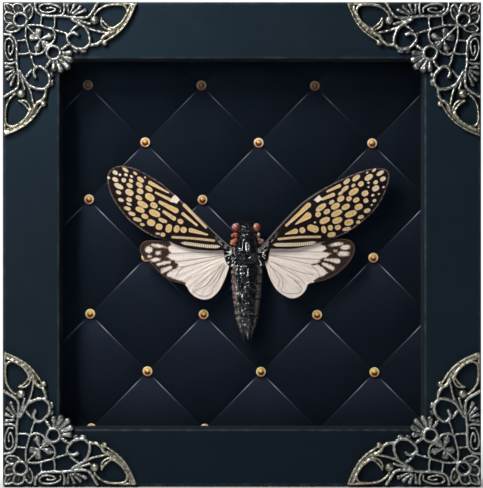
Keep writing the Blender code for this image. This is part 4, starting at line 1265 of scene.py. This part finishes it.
HIND_VEINS = {
    "left": [
        [(-6.2, -1.1), (-16.3, -0.8), (-24.7, -1.2)], [(-6.4, -1.5), (-16.3, -2.9), (-22.8, -3.7)],
        [(-6.6, -1.9), (-16.3, -4.4), (-20.1, -5.2), (-22.4, -5.2)],
        [(-20.1, -5.3), (-21.6, -6.7), (-22.6, -8.2)], [(-7.5, -4.2), (-11.0, -7.3), (-16.9, -11.8)],
        [(-7.7, -4.4), (-12.1, -10.3), (-16.3, -13.0)], [(-7.2, -4.6), (-9.3, -8.2), (-12.1, -11.6)],
        [(-7.0, -4.8), (-8.5, -8.2), (-10.6, -12.0)], [(-5.8, -4.0), (-7.2, -6.1), (-8.5, -8.6)],
        [(-17.3, -12.4), (-16.7, -13.5), (-15.0, -14.5), (-12.9, -14.6), (-11.2, -13.7), (-10.8, -12.4)],
    ],
    "right": [
        [(6.6, -0.6), (15.9, -0.4), (24.1, -0.6)], [(7.2, -1.5), (15.9, -2.4), (23.3, -3.0)],
        [(7.6, -1.8), (13.8, -3.0), (20.0, -4.4), (22.7, -4.4)], [(20.4, -4.7), (22.1, -6.3), (23.2, -8.2)],
        [(7.6, -3.6), (15.9, -6.7), (21.1, -7.9)], [(7.8, -3.6), (12.8, -6.5), (16.7, -8.8), (18.4, -10.8)],
        [(6.6, -3.8), (8.9, -7.1), (10.3, -10.0), (9.9, -11.7)],
        [(7.6, -5.5), (10.7, -7.9), (11.5, -10.4), (10.9, -12.7)],
        [(12.8, -7.9), (15.9, -10.0), (17.1, -11.9)],
        [(10.9, -13.1), (12.8, -13.8), (16.3, -13.7), (17.5, -12.5), (16.9, -11.3), (15.1, -9.8)],
    ],
}
HIND_RIDGES = {
    "left": [[(-6.8, -2.7), (-14.2, -5.7), (-20.5, -9.5)], [(-7.0, -3.6), (-12.1, -6.1), (-17.3, -8.6)]],
    "right": [[(7.0, -2.4), (14.0, -4.9), (20.6, -8.6)], [(7.4, -4.6), (12.4, -7.4), (16.9, -9.9)]],
}


def add_hindwings():
    paint = wing_pale()
    for side, sign in SIDES.items():
        x, y, faces, outline = wing_ground(f"hindwing_{side}")
        root = HIND_ROOT[side]
        windows = [inside_spot(x, y, spot, root) for spot in HIND_WINDOWS[side]]
        windows += [inside_streak(x, y, streak) for streak in HIND_STREAKS[side]]
        dark = np.minimum(inside_loop(x, y, HIND_DARK[side]), -np.max(windows, axis=0) - WINDOW_GROWTH)
        vein, ridge = (
            np.min([to_route(x, y, curve_through(route, 6))[0] for route in routes[side]], axis=0)
            for routes in (HIND_VEINS, HIND_RIDGES)
        )
        edge = to_route(x, y, outline, closed=True)[0]
        turn = np.arctan2(y - root[1], (x - root[0]) * sign)
        reach = np.hypot(x - root[0], y - root[1])
        lift = 0.06 * np.sin(turn * FIBRE_FAN) * ease(reach, 1, 6) * ease(reach, 26, 14)
        lift = lift + 0.07 * bell(vein, 0.18) + 0.14 * bell(ridge, 0.28)
        lift = lift + 0.10 * bell(edge - 0.25, 0.2) + 0.03 * ripple(x, y, 2.2, 21)
        values = {
            "dark": np.clip(dark, -1, 1), "vein": np.clip(vein, 0, 1), "ridge": np.clip(ridge, 0, 1),
            "edge": np.clip(edge, 0, 2), "turn": turn, "reach": reach,
        }
        depth = hindwing_depth(x, y)
        add_wing(f"hindwing_{side}", x, y, faces, depth, lift, paint, values)


# Body

BODY_SIDES = 112
LUMP_RINGS = 26
LUMP_SIDES = 40
LEG_SIDES = 14
ROOT_CELL = 0.11
# Phase of a wing root's folds for each radian of its fan.
ROOT_FOLDS = 13.0
# Sections: up, half width, half depth, depth of the middle, squareness.
HEAD = [
    (9.40, 0.6, 0.3, 11.2, 2.0), (9.30, 1.5, 0.8, 11.2, 2.1), (9.05, 2.2, 1.4, 11.15, 2.2),
    (8.5, 2.85, 2.0, 11.05, 2.3), (7.8, 3.0, 2.5, 11.0, 2.3), (7.0, 3.0, 2.8, 11.0, 2.3),
    (6.2, 3.1, 2.9, 11.0, 2.3), (5.6, 2.9, 2.6, 11.0, 2.3),
]
PRONOTUM = [
    (5.9, 2.5, 2.3, 11.0, 2.2), (5.6, 3.05, 2.9, 11.0, 2.4), (5.2, 3.25, 3.3, 11.0, 2.4),
    (4.5, 3.4, 3.65, 11.0, 2.5), (3.9, 3.5, 3.85, 11.0, 2.5), (3.5, 3.5, 3.8, 11.0, 2.4),
    (3.2, 3.0, 3.2, 11.0, 2.2),
]
MESONOTUM = [
    (3.60, 2.6, 3.3, 11.0, 2.0), (3.48, 3.1, 3.65, 11.0, 2.1), (3.2, 3.4, 3.80, 11.0, 2.2),
    (2.5, 3.55, 3.92, 11.0, 2.2), (1.2, 3.8, 4.15, 11.0, 2.2), (0.0, 3.9, 4.35, 11.0, 2.2),
    (-0.9, 3.9, 4.40, 11.0, 2.2), (-1.7, 3.9, 4.2, 11.0, 2.2), (-2.8, 4.1, 3.8, 11.1, 2.2),
    (-3.8, 4.4, 3.5, 11.15, 2.2), (-4.7, 4.3, 3.1, 11.25, 2.2), (-5.1, 3.6, 2.5, 11.3, 2.1),
]
# Front edge of each ring: up, half width, half depth, depth of the middle.
ABDOMEN_SEGMENTS = [
    (-4.8, 4.6, 3.35, 11.3), (-7.6, 5.0, 3.5, 11.3), (-10.5, 4.8, 3.5, 11.3), (-12.9, 4.6, 3.4, 11.4),
    (-15.4, 4.4, 3.3, 11.4), (-18.1, 4.0, 3.1, 11.4), (-20.7, 3.6, 2.9, 11.4), (-22.9, 3.2, 2.6, 11.4),
    (-24.9, 2.45, 2.1, 11.3), (-26.7, 1.9, 1.7, 11.3), (-28.4, 1.35, 1.2, 11.6), (-29.3, 0.6, 0.6, 12.0),
]
# Centres of the eyes, and of the three small eyes between them: across, up, depth.
EYE_CENTRES = {"left": (-3.42, 7.2, 9.9), "right": (3.08, 7.15, 9.9)}
OCELLI = ((-0.15, 8.2, 8.47), (-0.75, 7.35, 8.39), (0.55, 7.35, 8.31))
EYE_RADIUS = 1.38
OCELLUS_RADIUS = 0.27
# Dark colour of each eye, and the colour of its painted highlight.
EYE_COLOURS = {
    "left": ((0.24, 0.028, 0.014), (0.95, 0.68, 0.60)),
    "right": ((0.34, 0.06, 0.02), (0.90, 0.66, 0.42)),
}
# How dull the smooth chitin is, from 0 to 1.
POLISH = 0.015
BLACK = (0.0055, 0.0060, 0.0075)
BROWN = (0.135, 0.105, 0.082)
PALE_BROWN = (0.34, 0.27, 0.23)
DARK_BROWN = (0.014, 0.013, 0.013)
ROSY = (0.42, 0.27, 0.25)
LEG_BROWN = (0.030, 0.020, 0.014)
OCELLUS_RED = (0.03, 0.008, 0.006)


def body_surface(sections, rings, relief):
    """Places on a loft through the sections, pushed outwards by the relief."""
    spine = curve_through(sections, max(rings // (len(sections) - 1), 1))
    turns = np.linspace(0, 2 * pi, BODY_SIDES, endpoint=False)
    up, wide, deep, middle, square = (spine[:, k][:, None] for k in range(5))
    sideways, backwards = (
        np.sign(way) * np.abs(way) ** (2 / square) for way in (np.cos(turns), np.sin(turns))
    )
    up = np.broadcast_to(up, sideways.shape)
    top = ease(-backwards, 0.0, 0.5)
    push = relief(wide * sideways, up, top) / (np.hypot(sideways, backwards) + 1e-6)
    return (wide + push) * sideways, middle + (deep + push) * backwards, up


def paint_between(first, second, share):
    """Between two colours, either of which can change from point to point."""
    first, second = np.asarray(first), np.asarray(second)
    return first + (second - first) * np.asarray(share)[..., None]


def groove(x, y, route, half):
    return bell(to_route(x, y, curve_through(route, 5))[0], half)


def grooves(x, y, route, half):
    """The same groove on both sides of the body."""
    return groove(x, y, route, half) + groove(-x, y, route, half)


def value_at(value, *place):
    """A value that is the same everywhere, or one that depends on the place."""
    return value(*place) if callable(value) else value


def add_body_part(name, sections, rings, relief, colour, dull, paint):
    across, depth, up = body_surface(sections, rings, relief)
    tint = np.broadcast_to(value_at(colour, across, up), across.shape + (3,))
    values = {
        "tint": np.clip(tint, 0, 1).reshape(-1, 3),
        "dull": np.broadcast_to(value_at(dull, across, up), across.shape).ravel(),
    }
    points = to_world(across, depth, up).reshape(-1, 3)
    add_piece(name, points, ring_faces(*across.shape), paint, ["body"], values, sharp=60)


def head_relief(x, y, top):
    """Two slanting ridges, a furrow down the middle and raised cheeks."""
    ridge = [(-2.2, 6.8), (-1.2, 7.2), (-0.4, 7.7)]
    raised = 0.14 * groove(x, y, ridge, 0.22) + 0.12 * groove(-x, y, ridge, 0.22)
    raised = raised + 0.15 * grooves(x, y, [(-2.6, 8.6), (-1.7, 8.0)], 0.5)
    furrow = 0.22 * groove(x, y, [(0, 9.0), (0, 8.3)], 0.25)
    furrow = furrow + 0.18 * groove(x, y, [(0, 6.6), (0, 5.6)], 0.25)
    return top * (raised - furrow) + 0.10 * ripple(x, y, 0.9, 31) + 0.03 * ripple(x, y, 0.5, 38)


def pronotum_relief(x, y, top):
    """Slanting cuts at the sides, two low bosses, and a collar along the rear edge."""
    cuts = grooves(x, y, [(-3.4, 5.3), (-2.0, 4.6), (-1.2, 3.9)], 0.20)
    cuts = cuts + grooves(x, y, [(-3.9, 4.3), (-2.6, 3.9)], 0.18)
    collar = 0.16 * groove(x, y, [(-4.2, 3.55), (0, 3.5), (4.2, 3.55)], 0.22)
    collar = collar - 0.24 * groove(x, y, [(-3.6, 3.95), (0, 3.85), (3.6, 3.95)], 0.16)
    bosses = 0.20 * groove(x, y, [(-0.45, 4.6), (-0.45, 4.2)], 0.35)
    bosses = bosses + 0.14 * groove(x, y, [(0.7, 4.8), (0.6, 4.4)], 0.35)
    uneven = 0.05 * ripple(x, y, 0.9, 33) + 0.05 * ripple(x, y, 0.5, 42)
    return top * (collar + bosses - 0.22 * cuts) + uneven


def mesonotum_relief(x, y, top):
    """A shield of two smooth domes, then the raised cross and its hollows."""
    arms = [
        [(-2.6, -1.0), (-1.4, -2.1), (-0.5, -2.9)], [(2.4, -1.2), (1.5, -2.3), (0.6, -3.0)],
        [(-2.4, -4.4), (-1.2, -3.7), (-0.4, -3.1)], [(2.2, -4.5), (1.2, -3.7), (0.4, -3.1)],
    ]
    cross = sum(groove(x, y, arm, 0.26) for arm in arms)
    knob = groove(x, y, [(-0.35, -2.95), (0.1, -3.1)], 0.40)
    hollow = ease(y, -1.3, -2.2)
    shield = ease(y, -1.9, -0.6) * ease(y, 3.7, 1.9)
    domes = 0.16 * bell(x + 1.6, 0.8) + 0.315 * bell(x - 1.3, 0.74)
    seam = groove(x, y, [(-0.55, 3.2), (-0.65, 1.0), (-0.4, -0.8)], 0.30)
    crest = groove(x, y, [(-2.95, 1.2), (-2.3, 0.1), (-1.55, -1.1)], 0.29)
    rim = groove(x, y, [(-3.4, -0.9), (0, -1.35), (3.4, -0.9)], 0.22)
    raised = 0.50 * cross + 0.35 * knob + shield * (domes - 0.12 * seam) + 0.42 * crest + 0.12 * rim
    wrinkles = 0.10 * hollow * ripple(x, y, 0.9, 39)
    return top * (raised - 0.55 * hollow + wrinkles) + 0.015 * ripple(x, y, 2.5, 35)


def abdomen_sections():
    """Each ring is drawn in at its front edge and swells towards its rear edge."""
    sections = []
    for start, end in zip(ABDOMEN_SEGMENTS, ABDOMEN_SEGMENTS[1:]):
        for share, swell in ((0.0, -0.16), (0.06, -0.10), (0.45, 0.02), (0.86, 0.12), (0.97, 0.10)):
            up, wide, deep, middle = (first + (second - first) * share for first, second in zip(start, end))
            sections.append((up, max(wide + swell, 0.25), max(deep + swell, 0.25), middle, 2.3))
    up, _, _, middle = ABDOMEN_SEGMENTS[-1]
    sections.append((up - 0.05, 0.18, 0.18, middle, 2.0))
    return sections


def abdomen_width(y):
    places, widths, _, _ = zip(*reversed(ABDOMEN_SEGMENTS))
    return np.interp(y, places, widths)


def abdomen_relief(x, y, top):
    """Uneven wrinkles across the back that face upwards, and a fold where it meets the flanks."""
    share = np.abs(x) / abdomen_width(y)
    turn = -y / 1.35 + 0.45 * ripple(x, y, 2.6, 41)
    steps = turn - np.floor(turn)
    steps = np.where(steps < 0.8, steps / 0.8, (1 - steps) / 0.2)
    depth = 0.13 + 0.13 * ease(y, -13, -24) + 0.09 * ripple(x, y, 2.0, 46)
    patches = 0.10 * ripple(x + 0.2 * y, y * 0.55, 1.45, 48) + 0.045 * ripple(x, y, 1.2, 43)
    wrinkles = depth * steps + patches * (0.35 + 0.65 * ease(y, -6.0, -9.0))
    folds = 0.14 * bell(share - 0.80, 0.09) - 0.22 * bell(share - 0.62, 0.07)
    folds = folds + 0.20 * bell(x - 0.9, 0.8) * ease(y, -27.5, -26.0)
    tip = 1.1 * ease(y, -25.2, -28.2) * bell(x - 0.3, 0.7)
    fade = 0.3 + 0.7 * ease(y, -29.2, -27.5)
    return (wrinkles * (0.35 + 0.65 * top) + top * folds) * fade + top * tip


def abdomen_colour(x, y):
    """Black down the middle, translucent brown at the sides, pale mottled strips at the edges."""
    share = np.abs(x - 0.15) / abdomen_width(y)
    uneven = 0.14 * ripple(x, y, 1.6, 45)
    side = ease(share + uneven, 0.56, 0.80) * ease(y, -26.8, -25.4)
    side = side * (0.45 + 0.55 * ease(y, -8.0, -13.0))
    joints = np.min([np.abs(y - segment[0] + 0.25) for segment in ABDOMEN_SEGMENTS[1:-1]], axis=0)
    away = ease(joints, 0.05, 0.35)
    side = side * (0.35 + 0.65 * away) * (1 - 0.45 * ease(-x, 0.5, 1.5))
    colour = paint_between(BLACK, BROWN, side)
    mottle = np.clip(0.5 + 0.8 * ripple(x, y, 1.1, 47), 0, 1)
    strip = ease(share, 0.80, 0.95) * mottle * ease(y, -26.6, -25.2) * away
    colour = paint_between(colour, PALE_BROWN, strip)
    rosy = ease(x, -2.8, -3.6) * ease(y, -9.0, -11.0) * ease(y, -17.0, -15.0) * mottle
    return paint_between(colour, ROSY, 0.8 * rosy)


def add_lump(name, centre, radii, paint, colour, dull=0.3, rough=0.08, wave=0.9, seed=0):
    """A rounded, uneven lump on the body. Its colour can depend on the way each point faces."""
    turns, tilts = np.meshgrid(
        np.linspace(0, 2 * pi, LUMP_SIDES, endpoint=False), np.linspace(-0.49 * pi, 0.49 * pi, LUMP_RINGS),
    )
    way = np.stack([np.cos(tilts) * np.cos(turns), np.sin(tilts), np.cos(tilts) * np.sin(turns)])
    uneven = 1 + rough * ripple(way[0] * 2 + way[2], way[1] * 2, wave, seed)
    across, up, depth = (
        middle + radius * part * uneven for middle, radius, part in zip(centre, radii, way)
    )
    tint = np.broadcast_to(value_at(colour, way), turns.shape + (3,))
    values = {"tint": tint.reshape(-1, 3), "dull": np.full(turns.size, dull)}
    points = to_world(across, depth, up).reshape(-1, 3)
    add_piece(name, points, ring_faces(LUMP_RINGS, LUMP_SIDES), paint, ["body"], values)


def eye_colour(side):
    """Red-brown, with a painted highlight towards the upper left, broken by slanting streaks on the left
    eye.
    """
    dark, pale = EYE_COLOURS[side]

    def colour(way):
        # Painted highlight: paler where the eye faces the upper left.
        light = ease(-way[0] * 0.6 + way[1] * 0.7 - way[2] * 0.3, 0.1, 0.95)
        streaks = 0.20 + 0.80 * ease(np.sin((way[0] * 0.9 + way[1]) * 7.5), -0.2, 0.4)
        return paint_between(dark, pale, light * (streaks if side == "left" else 0.65))

    return colour


def add_leg(name, route):
    """A smooth round tube that narrows and swells along a route in three dimensions."""
    spine = curve_through([(*point, radius) for point, radius in zip(route, LEG_RADII)], 7)
    points = []
    for i, (across, depth, up, radius) in enumerate(spine):
        ahead = spine[min(i + 1, len(spine) - 1)][:3] - spine[max(i - 1, 0)][:3]
        ahead = Vector(ahead).normalized()
        first = ahead.cross(Vector((0.31, 0.52, 0.79))).normalized()
        second = ahead.cross(first)
        for side in range(LEG_SIDES):
            turn = 2 * pi * side / LEG_SIDES
            round_about = first * (radius * cos(turn)) + second * (radius * sin(turn))
            points.append(to_world(*(Vector((across, depth, up)) + round_about)))
    values = {"tint": [LEG_BROWN] * len(points), "dull": [0.35] * len(points)}
    add_piece(name, points, ring_faces(len(spine), LEG_SIDES), CHITIN, ["body"], values)


# Each right leg's route: across, depth, up. The left legs mirror them.
LEGS = {
    "front": [
        (2.0, 12.6, 2.0), (2.7, 14.2, 2.9), (3.1, 15.3, 3.6), (2.4, 15.6, 6.0), (1.7, 15.7, 6.8),
        (1.0, 15.7, 7.4),
    ],
    "middle": [
        (2.4, 12.6, 0.0), (3.3, 14.1, -0.2), (3.9, 15.2, -0.4), (3.4, 15.5, -2.8), (2.9, 15.6, -4.2),
        (2.4, 15.7, -5.4),
    ],
    "hind": [
        (1.8, 12.6, -2.0), (2.5, 14.2, -2.7), (2.9, 15.4, -3.2), (1.9, 15.6, -7.0), (1.4, 15.7, -8.9),
        (0.9, 15.7, -10.4),
    ],
}
LEG_RADII = (0.50, 0.46, 0.30, 0.26, 0.17, 0.10)

ROOT_OUTLINES = {
    "left": [
        (-3.2, 1.7), (-4.6, 2.1), (-6.6, 2.0), (-7.6, 0.6), (-7.2, -1.4), (-6.9, -3.2), (-5.6, -5.2),
        (-4.3, -5.6), (-3.4, -4.0), (-3.0, -1.0),
    ],
    "right": [
        (3.2, 1.8), (4.6, 2.2), (6.6, 2.2), (7.4, 0.8), (7.0, -1.2), (6.7, -3.0), (5.6, -4.8),
        (4.5, -5.2), (3.5, -4.0), (3.0, -1.0),
    ],
}


def root_rise(x, y, edge, seed):
    """The crumpled folds that fan out from the thorax, and two tufts."""
    span = np.abs(x)
    turn = np.arctan2(y + 0.8, span - 2.4)
    folds = 1 - np.abs(np.sin(turn * ROOT_FOLDS + 0.9 * ripple(x, y, 2.4, 51 + seed)))
    breaks = ease(ripple(x, y, 1.5, 61 + seed), -0.25, 0.35)
    tufts = bell(np.hypot(span - 4.5, y + 4.9), 0.45)
    tufts = tufts + (1 - 0.4 * seed) * bell(np.hypot(span - 5.2, (y + 0.7) * 0.7), 0.55)
    uneven = 0.75 + 0.5 * ripple(x, y, 0.8, 65 + seed)
    return np.clip((1.15 * folds**1.6 * breaks + tufts * uneven) * ease(edge, 0, 0.35), 0, 1)


def add_wing_roots():
    """The crumpled membranes between the thorax and the wings."""
    paint = membrane()
    for seed, (side, loop) in enumerate(ROOT_OUTLINES.items()):
        outline = curve_through(loop, 5, closed=True)
        x, y, faces = net_inside(outline, ROOT_CELL)
        edge = inside_loop(x, y, outline)
        rise = root_rise(x, y, edge, seed)
        front = 10.2 - 0.9 * ease(np.abs(x), 7.4, 4.0) * ease(edge, 0, 0.8) - 0.75 * rise
        solid, closed = shell(to_world(x, front, y), to_world(x, 11.2, y), faces)
        values = {"rise": np.concatenate([rise, rise * 0])}
        add_piece(f"wing_root_{side}", solid, closed, paint, ["body"], values, sharp=70)


# Soft lobes between the head and the wings: centre, radii and colour.
SIDE_LOBES = [
    ((-3.75, 4.95, 9.6), (0.75, 0.50, 0.9), (0.80, 0.24, 0.10)),
    ((-3.35, 4.35, 9.3), (0.50, 0.42, 0.8), (0.62, 0.11, 0.04)),
    ((-4.65, 4.55, 9.9), (0.38, 0.55, 0.8), (0.78, 0.30, 0.15)),
    ((-3.60, 3.20, 9.2), (0.75, 0.62, 1.0), (0.74, 0.17, 0.06)),
    ((-4.35, 2.70, 9.2), (0.85, 0.60, 1.0), (0.90, 0.42, 0.22)),
    ((-4.75, 2.05, 9.4), (0.62, 0.45, 0.9), (0.82, 0.40, 0.24)),
    ((-3.85, 1.70, 9.3), (0.45, 0.50, 0.9), (0.50, 0.10, 0.05)),
    ((3.75, 4.90, 9.5), (0.50, 0.62, 0.8), (0.62, 0.58, 0.52)),
    ((3.45, 4.05, 9.4), (0.40, 0.42, 0.8), (0.30, 0.10, 0.05)),
    ((4.00, 3.35, 9.2), (0.62, 0.48, 1.0), (0.55, 0.28, 0.20)),
    ((4.85, 3.05, 9.3), (0.60, 0.42, 0.9), (0.66, 0.42, 0.36)),
    ((4.30, 2.40, 9.3), (0.75, 0.40, 0.9), (0.48, 0.22, 0.17)),
    ((5.15, 2.30, 9.6), (0.45, 0.38, 0.8), (0.34, 0.17, 0.14)),
]


def blackish(size, seed, low):
    """Black with slightly browner clouds of this size."""
    return lambda x, y: paint_between(BLACK, DARK_BROWN, ease(ripple(x, y, size, seed), low, 1))


def mesonotum_dull(x, y):
    """Duller in the hollows behind the shield."""
    return 0.02 + 0.12 * ease(y, -1.4, -2.4)


def abdomen_dull(x, y):
    """Dull along both sides, as far as the last rings."""
    return 0.03 + 0.5 * ease(np.abs(x) / abdomen_width(y), 0.5, 0.8) * ease(y, -27.0, -25.5)


def add_body():
    for name, sections, rings, relief, colour, dull, paint in (
        ("head", HEAD, 70, head_relief, blackish(1.6, 32, 0.2), POLISH, DRY_CHITIN),
        ("pronotum", PRONOTUM, 60, pronotum_relief, blackish(1.4, 34, 0.1), POLISH, DRY_CHITIN),
        ("mesonotum", MESONOTUM, 110, mesonotum_relief, BLACK, mesonotum_dull, CHITIN),
        ("abdomen", abdomen_sections(), 250, abdomen_relief, abdomen_colour, abdomen_dull, CHITIN),
    ):
        add_body_part(name, sections, rings, relief, colour, dull, paint)


def add_cicada():
    add_body()
    eyes = eye_skin()
    for side, centre in EYE_CENTRES.items():
        radii = (EYE_RADIUS,) * 3
        add_lump(f"eye_{side}", centre, radii, eyes, eye_colour(side), rough=0.015, seed=71)
    for number, centre in enumerate(OCELLI, 1):
        radii = (OCELLUS_RADIUS,) * 3
        add_lump(f"ocellus_{number}", centre, radii, eyes, OCELLUS_RED, rough=0.01)
    for number, (centre, radii, colour) in enumerate(SIDE_LOBES, 1):
        add_lump(f"side_lobe_{number}", centre, radii, CHITIN, colour, 0.5, 0.16, 0.8, seed=80 + number)
    add_wing_roots()
    for pair, route in LEGS.items():
        for side, sign in SIDES.items():
            add_leg(f"leg_{pair}_{side}", [(sign * across, depth, up) for across, depth, up in route])


# Studio

CAMERA_DISTANCE = 750 * MM
CAMERA_X = -0.14 * MM
CAMERA_Z = 75.97 * MM
SENSOR = 36.0
LENS = 176.5
LIGHTS = {
    # name: place, width, height, watts, colour, where it is aimed
    "low key": ((-0.155, -0.34, 0.20), 0.03, 0.11, 0.37, (1.0, 0.985, 0.96), (0.0, -0.014, 0.076)),
    "high key": ((-0.135, -0.205, 0.30), 0.045, 0.13, 1.06, (1.0, 0.985, 0.945), (0.0, -0.014, 0.076)),
    "floor": ((0.0, 0.26, 0.34), 0.50, 0.16, 2.6, (1.0, 0.995, 0.985), (0.0, 0.19, 0.0)),
}
WORLD_GLOW = 0.012
# The floor's left, front, right and back edges, in metres.
FLOOR = (-0.32, -0.24, 0.32, 0.34)
FLOOR_DROP = 0.2 * MM


def add_floor():
    mesh = bpy.data.meshes.new("floor")
    left, front, right, back = FLOOR
    places = [(left, front, 0), (right, front, 0), (right, back, 0), (left, back, 0)]
    mesh.from_pydata(places, [], [(0, 1, 2, 3)])
    paint = Paint("pale floor")
    shade = paint.noise(60, 3)
    mesh.materials.append(paint.finish(paint.mix(shade, (0.70, 0.70, 0.69), (0.76, 0.76, 0.75)), 0.7))
    floor = bpy.data.objects.new("floor", mesh)
    bpy.context.scene.collection.objects.link(floor)
    floor.location.z = -FLOOR_DROP


def add_world():
    """White to the camera, dim as light."""
    world = bpy.data.worlds.new("studio")
    bpy.context.scene.world = world
    world.use_nodes = True
    tree = world.node_tree
    dim = tree.nodes["Background"]
    dim.inputs["Color"].default_value = (0.60, 0.80, 1.0, 1.0)
    dim.inputs["Strength"].default_value = WORLD_GLOW
    white = tree.nodes.new("ShaderNodeBackground")
    white.inputs["Color"].default_value = (1.0, 1.0, 1.0, 1.0)
    path = tree.nodes.new("ShaderNodeLightPath")
    mixed = tree.nodes.new("ShaderNodeMixShader")
    tree.links.new(path.outputs["Is Camera Ray"], mixed.inputs[0])
    tree.links.new(dim.outputs[0], mixed.inputs[1])
    tree.links.new(white.outputs[0], mixed.inputs[2])
    tree.links.new(mixed.outputs[0], tree.nodes["World Output"].inputs[0])


def add_lights():
    for name, (place, wide, tall, watts, colour, aim) in LIGHTS.items():
        light = bpy.data.lights.new(name, "AREA")
        light.shape = "RECTANGLE"
        light.size, light.size_y = wide, tall
        light.energy = watts
        light.color = colour
        lamp = bpy.data.objects.new(name, light)
        lamp.location = place
        lamp.rotation_euler = (Vector(aim) - lamp.location).to_track_quat("-Z", "Y").to_euler()
        lamp.visible_camera = False
        bpy.context.scene.collection.objects.link(lamp)


def add_camera():
    lens = bpy.data.cameras.new("camera")
    lens.sensor_width = SENSOR
    lens.lens = LENS
    lens.clip_start = 0.05
    camera = bpy.data.objects.new("camera", lens)
    camera.location = (CAMERA_X, FRONT_Y - CAMERA_DISTANCE, CAMERA_Z)
    camera.rotation_euler = (pi / 2, 0, 0)
    bpy.context.scene.collection.objects.link(camera)
    bpy.context.scene.camera = camera


def add_studio():
    bpy.context.scene.view_settings.view_transform = "Standard"
    add_floor()
    add_world()
    add_lights()
    add_camera()


CHITIN = chitin("chitin", 0.8)
DRY_CHITIN = chitin("dry chitin", 0.35)
add_rails()
dress_nodes()
add_panel()
add_buttons()
add_castings()
add_forewings()
add_hindwings()
add_cicada()
add_studio()


def corners(box):
    return [[float(number) for number in corner] for corner in box]
